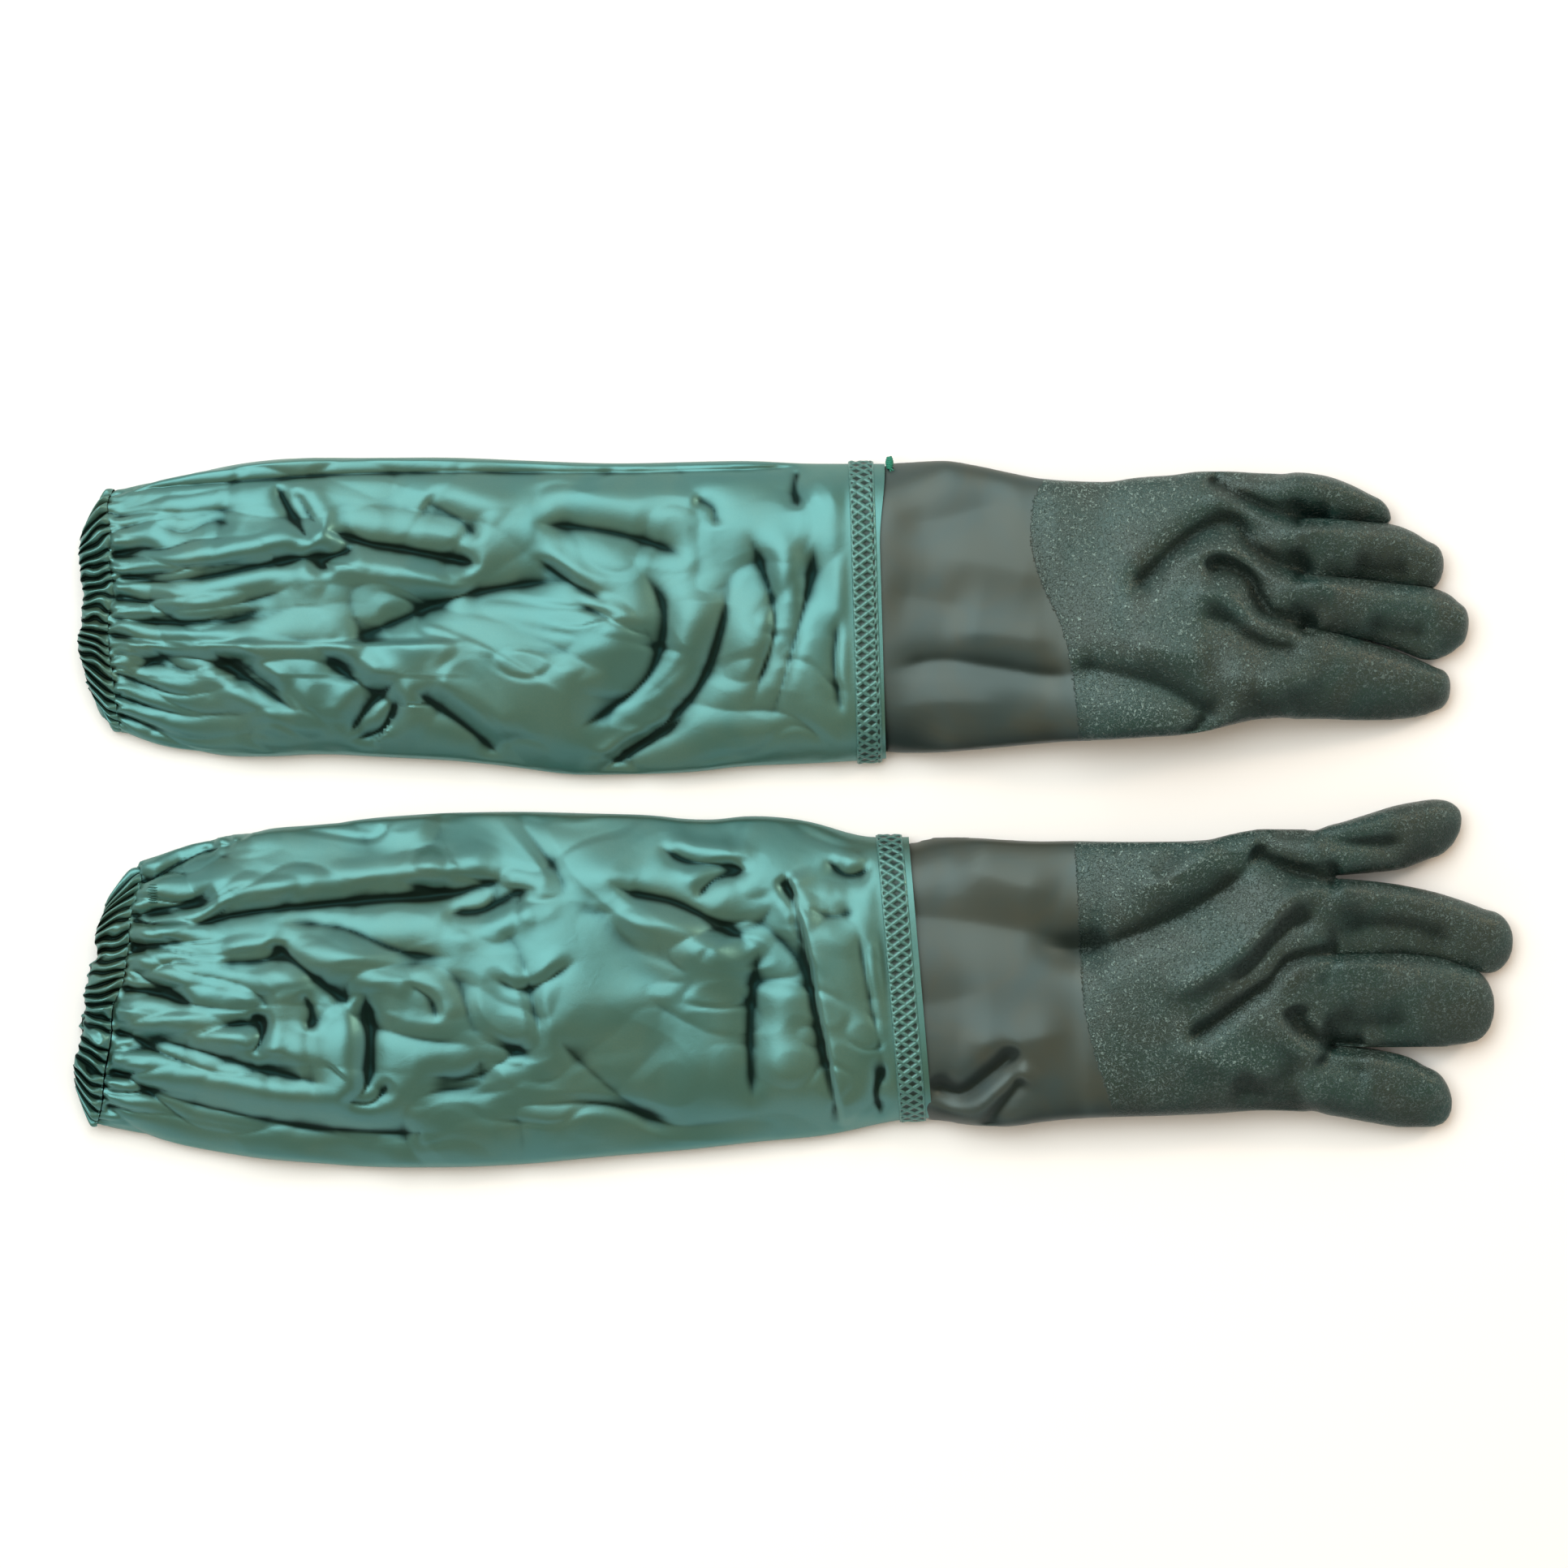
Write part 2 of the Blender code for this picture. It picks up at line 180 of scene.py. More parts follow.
# Sleeves: (x, near edge y, far edge y) from the hem's stitch line to past the weld band
LEFT_SLEEVE = (
    (-311, 39, 145.5),
    (-301, 35.5, 148.7),
    (-292, 31.8, 151.7),
    (-272, 27, 155.8),
    (-257, 24.8, 158.4),
    (-243, 24.4, 160.6),
    (-213, 25.9, 162.1),
    (-183, 24.4, 162.4),
    (-154, 22.9, 162.1),
    (-124, 19.6, 160.9),
    (-95, 15.9, 159.8),
    (-80, 16.3, 159.5),
    (-50, 17.0, 160.2),
    (-21, 20.4, 160.9),
    (9, 21.5, 159.5),
    (38, 23.3, 159.5),
    (48, 24.3, 159.4),
)
RIGHT_SLEEVE = (
    (-316, -141.8, -37),
    (-301, -145.4, -29.2),
    (-292, -148.0, -22.9),
    (-272, -152.8, -14.4),
    (-257, -155.4, -10.0),
    (-243, -158.0, -7.0),
    (-213, -160.6, -4.1),
    (-183, -162.4, -0.7),
    (-154, -162.4, 1.1),
    (-124, -161.3, 1.5),
    (-95, -158.4, 0.7),
    (-65, -155.8, 0.0),
    (-50, -154.7, -2.2),
    (-36, -153.2, -2.6),
    (-21, -151.3, 0.0),
    (-6, -149.8, -0.7),
    (9, -148.7, -3.3),
    (24, -146.2, -8.4),
    (36, -143.2, -10.6),
    (53, -140.2, -10.4),
    (62, -140.0, -10.4),
)
# Hands: (x, near y, far y, underside z, top z) from inside the sleeve to the knuckles
LEFT_HAND = (
    (20, 26, 156.5, 3, 24),
    (46, 26.2, 160.0, 2.4, 24.5),
    (68, 27.2, 160.0, 0.6, 25),
    (83, 28.4, 157.8, 0.4, 25.6),
    (98, 29.8, 154.6, 0.4, 26.3),
    (113, 31.2, 151.7, 0.6, 27.4),
    (127, 32.2, 150.6, 7, 30.5),
    (142, 32.7, 150.2, 14.6, 34),
    (157, 33.7, 152.2, 14.6, 35.5),
    (172, 34.6, 153.2, 14.6, 35.8),
    (186, 36.4, 155.0, 14.6, 35),
    (198, 39.4, 155.0, 14.4, 34),
    (212, 42.2, 154.2, 13.2, 32.4),
    (219, 42.6, 154.0, 12.8, 31.8),
)
RIGHT_HAND = (
    (36, -142, -12, 3, 24),
    (56, -140.3, -11.0, 2.4, 24.5),
    (70, -141.0, -10.8, 1.4, 25),
    (83, -142.3, -11.3, 0.4, 25.6),
    (98, -142.6, -12.3, 0.4, 26.3),
    (113, -140.6, -12.9, 0.4, 27),
    (128, -139.1, -12.7, 0.6, 27.6),
    (142, -138.4, -12.9, 7, 31),
    (157, -138.0, -12.9, 14.6, 34.5),
    (172, -137.5, -12.8, 14.6, 35.6),
    (187, -136.9, -12.2, 14.6, 36),
    (198, -136.2, -9.6, 14.6, 35.6),
    (213, -135.2, -7.2, 14.6, 34.6),
    (228, -135.6, -7.4, 13.2, 32.4),
    (233, -136.0, -7.4, 12.8, 31.8),
)
# Fingers: (x, near y, far y) along each stall and its tip point, then how high it lies
LEFT_FINGERS = {
    "little": (
        ((216, 132.5, 154.2), (230, 133.2, 154.3), (242, 132.8, 152.9), (254, 132.0, 148.9),
         (264, 131.4, 143.9)),
        (272.8, 134.8),
        0.0,
    ),
    "ring": (
        ((216, 109.2, 132.0), (238, 106.9, 132.6), (260, 105.1, 131.2), (272, 103.4, 130.2),
         (282, 102.2, 126.8), (290, 102.0, 121.8)),
        (296.6, 112.5),
        0.6,
    ),
    "middle": (
        ((216, 85.5, 108.8), (238, 82.5, 106.6), (260, 79.2, 104.8), (275, 74.9, 102.9), (290, 69.9, 101.3),
         (299, 72.8, 98.2), (304, 76.7, 93.5)),
        (307.8, 86),
        1.2,
    ),
    "index": (
        ((216, 42.2, 85.1), (238, 42.5, 82.2), (260, 42.0, 77.0), (275, 42.4, 72.3), (287, 44.2, 67.7),
         (294, 46.8, 64.5)),
        (299.8, 56.5),
        0.0,
    ),
}
RIGHT_FINGERS = {
    "index": (
        ((231, -30.3, -7.8), (246, -27.8, -5.2), (260, -26.6, -1.1), (275, -25.2, 3.3), (290, -20.0, 5.9)),
        (305, -4),
        0.5,
    ),
    "middle": (
        ((231, -63.8, -31.0), (246, -63.8, -30.9), (268, -63.6, -32.6), (290, -66.2, -36.6),
         (305, -70.3, -41.1), (316, -72.6, -45.3)),
        (328.3, -59),
        0.0,
    ),
    "ring": (
        ((231, -99.6, -64.6), (253, -105.1, -64.0), (275, -105.5, -64.6), (294, -105.5, -66.8),
         (307, -104.0, -71.4)),
        (319.5, -88.5),
        3.2,
    ),
    "little": (
        ((231, -135.9, -105.0), (246, -137.6, -106.2), (260, -140.2, -107.7), (279, -143.0, -111.6),
         (289, -143.0, -117.0)),
        (300.5, -132.5),
        0.0,
    ),
}

# Rise of a finger from its base to its tip: share of length, underside z, top z
FINGER_RISE = (
    (0.0, 12.6, 31.8),
    (0.2, 9.4, 29.4),
    (0.4, 5.4, 25.8),
    (0.6, 2.2, 21.6),
    (0.8, 0.5, 17.4),
    (0.92, 0.3, 14.8),
    (1.0, 0.3, 13.6),
)

# Edge of the rough coat across the back of the hand
LEFT_COAT = ((114, 151), (109, 140), (108, 124), (112, 106), (121, 86), (125, 72), (128, 54), (130, 32))
RIGHT_COAT = ((128, -12), (129.5, -42), (130.5, -61), (132, -87), (136, -106), (140, -119), (145, -134))

LEFT_SLEEVE_FOLDS = [
    fold(5, 3.4, (-312, 104), (-269, 106), (-224, 115), (-193, 117), ridge=2.0),
    fold(4, 2.6, (-196, 120), (-205, 117), (-213, 113), (-206, 108), ridge=-1.4),
    fold(6, 5.0, (-213, 129), (-193, 122), (-176, 119), (-139, 112), ridge=-2.6, taper=0.15),
    fold(4, 2.6, (-235, 151), (-226, 134), (-216, 120), ridge=1.2),
    fold(3.5, 1.8, (-226, 147), (-218, 134), (-211, 127), ridge=1.0),
    fold(11, 6.0, (-206, 76), (-180, 86), (-154, 97), (-124, 103), (-95, 106)),
    fold(7, 2.6, (-300, 92), (-262, 93), (-232, 100), (-222, 106), ridge=1.5),
    fold(4, 1.8, (-306, 86), (-280, 86), (-250, 88), (-238, 95), ridge=1.2),
    fold(2.2, 0.8, (-313, 78), (-250, 77), (-195, 77), (-143, 78), step=-2.0, taper=0.08),
    fold(2.0, 0.3, (-170, 87), (-140, 76), (-99, 52), step=-0.9),
    fold(4.5, 2.6, (-267, 77), (-248, 62), (-222, 44), ridge=-1.8),
    fold(5, 2.4, (-304, 60), (-282, 71), (-256, 66), (-248, 56), ridge=1.2),
    fold(3.5, 1.4, (-258, 74), (-247, 66), (-228, 52), ridge=1.2),
    fold(5, 2.4, (-213, 73), (-198, 60), (-180, 50), ridge=1.6),
    fold(5, 2.8, (-176, 62), (-190, 50), (-203, 33), ridge=-1.6),
    fold(5.5, 3.4, (-174, 57), (-150, 41), (-130, 24), ridge=2.4),
    fold(4, 2.6, (-203, 32), (-186, 38), (-180, 48), (-184, 33), ridge=1.0),
    fold(9, 4.6, (-120, 131), (-95, 129), (-70, 124), (-43, 114), ridge=1.6),
    fold(12, 5.0, (-72, 116), (-58, 92), (-64, 64), (-84, 46), (-105, 34), ridge=-2.2),
    fold(3, 1.6, (-118, 117), (-100, 104), (-82, 94), ridge=0.8),
    fold(2.6, 1.0, (-101, 97), (-80, 86), (-62, 79), ridge=0.6),
    fold(8, 4.2, (-88, 17), (-65, 34), (-43, 56), (-32, 84), (-28, 110), ridge=1.6),
    fold(2.8, 1.6, (-92, 16), (-72, 29), (-58, 36), (-48, 45), ridge=1.2),
    fold(6, 2.6, (-22, 130), (-14, 112), (-8, 84), (-20, 44), ridge=1.6),
    fold(7, 3.0, (12, 128), (6, 96), (-2, 66), (-10, 40), ridge=-1.4),
    fold(5, 2.0, (22, 92), (19, 66), (24, 40), ridge=1.2),
    fold(4, 1.6, (-46, 143), (-36, 138), (-34, 128)),
    fold(4, 1.8, (4, 158), (1, 148), (3, 136), ridge=0.8),
    fold(
        1.3, 0.7, (-306, 140), (-295, 146.5), (-264, 149.2), (-234, 151.2), (-205, 153.3), (-159, 154.3),
        (-112, 154.3), (-75, 154.3), (-34, 155.3), (-9, 156.3), (8, 158), taper=0.06, flange=0.65,
    ),
    fold(6, 2.2, (-290, 132), (-276, 127), (-262, 132), (-250, 128)),
    fold(7, 2.0, (-168, 142), (-150, 132), (-140, 122), ridge=1.0),
]
RIGHT_SLEEVE_FOLDS = [
    fold(6, 4.4, (-290, -58), (-250, -46), (-195, -40), (-150, -36), (-139, -27), ridge=2.2),
    fold(7, 3.2, (-240, -49), (-205, -52), (-176, -63), (-150, -66), ridge=-1.6),
    fold(4.5, 2.8, (-239, -57), (-219, -72), (-198, -88), ridge=-1.4),
    fold(3.2, 2.4, (-246, -90), (-240, -96), (-241, -105), (-247, -108), ridge=1.2),
    fold(2.4, 1.2, (-272, -101), (-256, -97), (-243, -93)),
    fold(5.5, 3.6, (-194, -76), (-191, -100), (-193, -124), (-203, -131), ridge=-1.8),
    fold(5, 2.8, (-206, -130), (-190, -131), (-181, -120), ridge=1.0),
    fold(7, 3.8, (-306, -122), (-261, -134), (-213, -143), (-150, -146), ridge=2.2),
    fold(5, 2.6, (-300, -100), (-270, -107), (-240, -116), (-205, -124), ridge=1.6),
    fold(2.0, 0.4, (-256, -104), (-240, -108), (-226, -110), step=0.8),
    fold(5, 2.8, (-308, -66), (-288, -78), (-270, -88), ridge=1.4),
    fold(4, 2.0, (-300, -48), (-280, -45), (-268, -38), (-262, -30), ridge=-1.6),
    fold(4, 2.0, (-262, -68), (-240, -67), (-226, -62), ridge=1.2),
    fold(3.5, 1.8, (-222, -80), (-217, -90), (-219, -100)),
    fold(4, 1.6, (-176, -76), (-164, -84), (-160, -96), ridge=0.8),
    fold(6, 2.6, (-181, -30), (-160, -36), (-144, -34), (-126, -28), ridge=1.8),
    fold(5, 2.4, (-160, -46), (-140, -44), (-124, -36), (-112, -34), ridge=-1.2),
    fold(3, 1.2, (-138, -73), (-120, -80), (-96, -66), ridge=0.8),
    fold(9, 2.8, (-172, -118), (-148, -120), (-130, -112), (-116, -98)),
    fold(12, 3.0, (-112, -96), (-92, -116), (-70, -134), (-48, -140)),
    fold(6, 4.0, (-86, -29), (-74, -36), (-50, -42), (-13, -62), ridge=-2.0),
    fold(3.6, 2.4, (-62, -14), (-48, -22), (-30, -24), (-17, -28), ridge=1.4),
    fold(4, 2.2, (-45, -40), (-34, -30), (-20, -26), ridge=1.0),
    fold(2.6, 2.0, (-3, -26), (4, -52), (12, -92), (23, -145), step=3.6, taper=0.06),
    fold(8, 3.0, (-14, -56), (-19, -92), (-18, -138), ridge=1.4),
    fold(6, 2.4, (28, -44), (36, -88), (47, -140), ridge=1.4),
    fold(4.5, 1.6, (6, -42), (18, -47), (30, -44), ridge=0.8),
    fold(3.5, 1.4, (-8, -30), (2, -38), (8, -48), ridge=-0.8),
    fold(4, 2.4, (14, -20), (24, -28), (34, -26), (40, -18), ridge=1.2),
    fold(4, 2.2, (44, -112), (38, -126), (42, -140), ridge=1.2),
]

LEFT_HAND_FOLDS = [
    fold(
        6.5, 5.6, (150, 97), (163, 109), (177, 122), (190, 130), (201, 130), (208, 121), (216, 114),
        (228, 110), (240, 108), taper=0.12,
    ),
    fold(5.0, 4.6, (186, 153), (197, 147), (206, 142), (218, 136), (232, 134), (246, 133), taper=0.1),
    fold(4.0, -3.0, (182, 146), (196, 141), (206, 137), (216, 132), (232, 129), (250, 128), taper=0.2),
    fold(
        5.0, 5.6, (184, 111), (196, 111), (206, 106), (211, 97), (216, 90), (228, 86),
        (240, 83), taper=0.12,
    ),
    fold(
        4.5, -3.2, (164, 106), (180, 116), (194, 119), (205, 115), (216, 107), (230, 104),
        (252, 102), taper=0.15,
    ),
    fold(5.5, -3.0, (176, 99), (192, 99), (201, 93), (209, 86), (222, 82), (240, 79), taper=0.15),
    fold(6.5, 3.0, (180, 90), (196, 86), (208, 78), (222, 74), (240, 73)),
    fold(10, -3.0, (190, 62), (206, 60), (222, 60), (240, 62)),
    fold(8.5, 4.2, (124, 67), (152, 61), (170, 55), (186, 46), (196, 40), taper=0.15),
    fold(7, -2.0, (150, 76), (172, 72), (190, 70)),
    fold(3.5, 1.4, (176, 33), (182, 38), (188, 44)),
    fold(9, 1.8, (252, 112), (268, 110), (284, 110)),
    fold(8, 1.6, (258, 86), (276, 82), (292, 80)),
    fold(12, 2.2, (42, 134), (64, 132), (88, 138), (104, 142), taper=0.3),
    fold(14, -1.6, (60, 116), (90, 112), (122, 104), taper=0.3),
    fold(13, 1.4, (40, 100), (62, 96), (86, 92), taper=0.3),
    fold(11, -1.8, (66, 82), (96, 80), (124, 76), taper=0.3),
    fold(6.5, 2.6, (40, 64), (66, 69), (92, 66), (118, 62), (136, 64), taper=0.2),
    fold(8, -1.2, (40, 46), (70, 50), (104, 48), taper=0.3),
]
RIGHT_HAND_FOLDS = [
    fold(
        8.5, 6.0, (104, -57), (132, -62), (158, -54), (182, -43), (200, -31), (208, -20),
        (206, -11), taper=0.24,
    ),
    fold(5.0, 5.0, (206, -16), (216, -22), (228, -27), (240, -30), (250, -31), taper=0.12),
    fold(7, -3.0, (150, -36), (168, -30), (184, -20), (196, -12)),
    fold(4.5, 2.0, (176, -13), (170, -22), (164, -30)),
    fold(
        6.5, -4.0, (166, -84), (184, -74), (200, -64), (214, -50), (226, -38), (242, -34),
        (264, -36), taper=0.15,
    ),
    fold(5, 2.4, (196, -78), (208, -70), (218, -58), (228, -50), (240, -50), taper=0.2),
    fold(
        4.2, 4.6, (176, -104), (190, -96), (204, -86), (216, -77), (224, -68), (238, -64),
        (250, -64), taper=0.12,
    ),
    fold(5, -2.6, (214, -84), (222, -74), (232, -68), (252, -68), (276, -69), taper=0.2),
    fold(5.5, 4.4, (226, -86), (230, -96), (238, -103), (250, -106), (262, -107), taper=0.14),
    fold(4.5, -2.6, (218, -86), (221, -98), (232, -107), (250, -110), (272, -113), taper=0.2),
    fold(10, -2.4, (166, -108), (186, -110), (206, -116), (226, -121)),
    fold(6, 2.8, (236, -109), (250, -115), (264, -118)),
    fold(9, 2.6, (196, -122), (216, -128), (236, -128)),
    fold(10, 3.4, (242, -56), (262, -51), (284, -53), (306, -63), taper=0.25),
    fold(11, 2.8, (240, -90), (258, -96), (286, -94), taper=0.3),
    fold(5, 2.8, (232, -9), (248, -13), (264, -14), (280, -13), ridge=-1.0),
    fold(15, 3.6, (40, -47), (66, -48), (96, -52), (126, -58), (146, -60), taper=0.12),
    fold(12, -2.0, (70, -22), (94, -30), (122, -38), taper=0.3),
    fold(12, 1.2, (44, -84), (64, -86), (90, -80), taper=0.3),
    fold(11, -2.2, (74, -104), (100, -104), (128, -98), taper=0.3),
    fold(5.0, 5.0, (60, -121), (76, -127), (90, -118), (104, -106), ridge=-1.8, taper=0.16),
    fold(4.5, 3.2, (86, -146), (92, -136), (100, -126), (106, -118), taper=0.2),
]

# For each glove: outward is the side its thumb is on, stitch the hem's seam as (x, skew), band the
# weld band as (start x, end x, skew), wrist and knuckles the x where they bend, flap the y where
# the sleeve's lip stands out, tack a bar tack as (x, near y, far y), seed its own random numbers.
GLOVES = {
    "left": {
        "outward": -1,
        "sleeve": LEFT_SLEEVE,
        "sleeve_folds": LEFT_SLEEVE_FOLDS,
        "hand": LEFT_HAND,
        "hand_folds": LEFT_HAND_FOLDS,
        "fingers": LEFT_FINGERS,
        "coat": LEFT_COAT,
        "stitch": (-309, -0.02),
        "band": (27.5, 39, -0.03),
        "wrist": 116,
        "knuckles": 222,
        "seed": 11,
        "flap": 158,
        "tack": None,
    },
    "right": {
        "outward": 1,
        "sleeve": RIGHT_SLEEVE,
        "sleeve_folds": RIGHT_SLEEVE_FOLDS,
        "hand": RIGHT_HAND,
        "hand_folds": RIGHT_HAND_FOLDS,
        "fingers": RIGHT_FINGERS,
        "coat": RIGHT_COAT,
        "stitch": (-306.3, 0.16),
        "band": (43.5, 55.5, -0.085),
        "wrist": 131,
        "knuckles": 238,
        "seed": 23,
        "flap": None,
        "tack": (-289.7, -31.5, -40.5),
    },
}


# ------------------------------------------------------------------ meshes


def make_object(name, points, faces, material, sharp=None):
    """A smooth-shaded object; edges sharper than that many degrees stay sharp."""
    mesh = bpy.data.meshes.new(name)
    mesh.from_pydata((np.asarray(points) * MM).tolist(), [], np.asarray(faces).tolist())
    mesh.materials.append(material)
    mesh.shade_smooth()
    if sharp:
        mesh.set_sharp_from_angle(angle=math.radians(sharp))
    made = bpy.data.objects.new(name, mesh)
    bpy.context.scene.collection.objects.link(made)
    return made


def tube_faces(rows, cols, close_rows=False):
    """Outward faces of a grid whose rows run along +X and whose columns run round the tube."""
    u = np.arange(rows if close_rows else rows - 1)[:, None]
    v = np.arange(cols)[None, :]
    near, far = u * cols, ((u + 1) % rows) * cols
    ahead = (v + 1) % cols
    return np.stack([near + v, near + ahead, far + ahead, far + v], axis=-1).reshape(-1, 4)


def strip_faces(rows, cols):
    u, v = np.arange(rows - 1)[:, None], np.arange(cols - 1)[None, :]
    return np.stack(
        [u * cols + v, u * cols + v + 1, (u + 1) * cols + v + 1, (u + 1) * cols + v], axis=-1
    ).reshape(-1, 4)


def grid_normals(grid):
    """Outward normals of a tube's grid."""
    along = np.gradient(grid, axis=0)
    around = np.roll(grid, -1, axis=1) - np.roll(grid, 1, axis=1)
    normal = np.cross(around, along)
    return normal / np.maximum(np.linalg.norm(normal, axis=2, keepdims=True), 1e-9)


def resample(grid, t, wrap):
    """The grid read along its first axis at fractional places t, on smooth curves."""
    count = len(grid)
    i = np.floor(t).astype(int)
    f = (t - i).reshape((-1,) + (1,) * (grid.ndim - 1))

    def row(k):
        return grid[np.mod(k, count) if wrap else np.clip(k, 0, count - 1)]

    return through(row(i - 1), row(i), row(i + 1), row(i + 2), f)


# ------------------------------------------------------------------ the sleeve

SLEEVE_COLS = 300
LIP = 2.6  # sleeve fabric showing past the weld band
SIDE_Z = 4.6  # height of the fold at the sleeve's two sides
FLATNESS = 4.3  # how flat the sleeve lies between its sides
LOWEST = 0.3  # no fabric lies lower than this
HIGHEST = 33  # nor higher, before its creases are added
CREST = (  # the sleeve's height along its middle: x, z
    (-325, 13.5), (-309, 16.5), (-290, 21), (-262, 26), (-213, 28.5), (-130, 28.5), (-50, 27.5), (10, 26.5),
    (70, 26.2),
)
RELAXING = ((36, 60, 0.14), (72, 30, 0.28), (144, 12, 0.4))  # columns, rounds and stiffness in turn
SEEN_NEAR, SEEN_FAR = 0.9, 1.3  # spacing of the finished rows by the hem and further on


def lying(s, top):
    """Heights of the under and upper side of fabric that lies flat, s from -1 to 1 across it."""
    under = 0.5 + (SIDE_Z - 0.5) * np.abs(s) ** 10
    return under, SIDE_Z + (top - SIDE_Z) * (1 - np.abs(s) ** FLATNESS) ** 0.62


def ring_frame(ring, reach):
    """Unit vectors along a ring and out of it, from the points that far to either side."""
    tangent = np.roll(ring, -reach, axis=0) - np.roll(ring, reach, axis=0)
    out = np.stack([np.zeros(len(ring)), tangent[:, 2], -tangent[:, 1]], axis=1)
    return (v / np.linalg.norm(v, axis=1)[:, None] for v in (tangent, out))


def sleeve_ring(glove, x, skew, count, lift=0.0):
    """One closed ring round the sleeve at x: along the underside to +Y and back over the top.

    Also its length. skew is how far the ring runs on along X for each millimetre of Y."""
    outline = np.array(glove["sleeve"], float)
    middle = (np.interp(x, outline[:, 0], outline[:, 1]) + np.interp(x, outline[:, 0], outline[:, 2])) / 2
    low, high = (read_at(outline, x, k) for k in (1, 2))
    for _ in range(3):
        low, high = (read_at(outline, x + skew * (y - middle), k) for k, y in ((1, low), (2, high)))
    s = -np.cos(np.linspace(0, math.pi, 160))
    under, over = lying(s, read_at(CREST, x))
    y = low + (high - low) * (s + 1) / 2
    loop_y, loop_z = np.concatenate([y, y[::-1][1:]]), np.concatenate([under, over[::-1][1:]])
    length = np.concatenate([[0], np.cumsum(np.hypot(np.diff(loop_y), np.diff(loop_z)))])
    at = np.linspace(0, length[-1], count, endpoint=False)
    ring_y, ring_z = np.interp(at, length, loop_y), np.interp(at, length, loop_z)
    ring = np.stack([x + skew * (ring_y - middle), ring_y, ring_z], axis=1)
    if lift:
        _, out = ring_frame(ring, 1)
        ring = ring + lift * out
    return ring, length[-1]


def pull_together(a, b, rest, stiffness):
    """Moves the two points of each link towards its rest length."""
    link = b - a
    length = np.sqrt((link**2).sum(-1, keepdims=True))
    move = link * (0.5 * stiffness * (length - rest) / np.maximum(length, 1e-6))
    return a + move, b - move


def relax(cloth, target, extra_v, extra_u, hold, rounds, stiff):
    """Lets a tube of cloth that is larger than its target shape settle into folds near it.

    extra_v is how much longer than the target each ring is, as a share, and extra_u how much
    longer the whole tube is; both grow from nothing. hold is how firmly a point keeps its place
    and stiff how much the cloth resists a sharp bend."""
    rows = len(target)
    ring = np.linalg.norm(np.roll(target, -1, axis=1) - target, axis=2).mean(1)[:, None, None]
    step = np.linalg.norm(target[1:] - target[:-1], axis=2).mean()
    floor = np.where(target[..., 2] > 8, 3.0, 0.4)
    for turn in range(rounds):
        grown = min(1.0, (turn + 1) / (0.6 * rounds))
        link_v, link_u = ring * (1 + extra_v[:, None, None] * grown), step * (1 + extra_u * grown)
        cloth += hold * (target - cloth)
        for _ in range(5):
            a, b = pull_together(cloth[:, 0::2], cloth[:, 1::2], link_v, 0.9)
            cloth[:, 0::2], cloth[:, 1::2] = a, b
            a, b = pull_together(cloth[:, 1::2], np.roll(cloth[:, 0::2], -1, axis=1), link_v, 0.9)
            cloth[:, 1::2], cloth[:, 0::2] = a, np.roll(b, 1, axis=1)
            for start in (0, 1):
                n = (rows - start) // 2
                one, two = slice(start, start + 2 * n, 2), slice(start + 1, start + 2 * n, 2)
                a, b = pull_together(cloth[one], cloth[two], link_u, 0.9)
                cloth[one], cloth[two] = a, b
                diagonal = np.sqrt(link_u**2 + link_v[one] ** 2)
                for way in (1, -1):
                    a, b = pull_together(cloth[one], np.roll(cloth[two], way, axis=1), diagonal, 0.7)
                    cloth[one], cloth[two] = a, np.roll(b, -way, axis=1)
            around = (np.roll(cloth, 1, axis=1) + np.roll(cloth, -1, axis=1)) / 2 - cloth
            cloth += stiff * around * (1 - hold)
            cloth[1:-1] += stiff * ((cloth[2:] + cloth[:-2]) / 2 - cloth[1:-1]) * (1 - hold[1:-1])
        cloth[..., 2] = np.clip(cloth[..., 2], floor, HIGHEST)
    return cloth


def refined(grid, rows, cols):
    """The tube's grid read again with that many rows and columns."""
    grid = resample(grid, np.linspace(0, len(grid) - 1, rows), wrap=False)
    around = np.arange(cols) * grid.shape[1] / cols
    return resample(grid.swapaxes(0, 1), around, wrap=True).swapaxes(0, 1)


def undulations(x, y, seed):
    """Broad soft swells of loose cloth, with a few long creases where they meet."""
    bent_x = x + 14 * value_noise(x / 50 + 20, y / 50 + 20, seed + 61)
    bent_y = y + 14 * value_noise(x / 50 + 60, y / 50 + 90, seed + 62)
    swell = 2.6 * value_noise(bent_x / 34 + 40, (bent_y + 0.3 * bent_x) / 26 + 40, seed + 63)
    crease = np.abs(value_noise((bent_x + 0.5 * bent_y) / 44 + 70, bent_y / 30 + 70, seed + 64))
    small_x, small_y = (bent_x - 0.7 * bent_y) / 24 + 30, (bent_y + 0.2 * bent_x) / 15 + 30
    small = np.abs(value_noise(small_x, small_y, seed + 65))
    return swell + 4.0 * np.minimum(crease, 0.45) + 1.5 * np.minimum(small, 0.4)


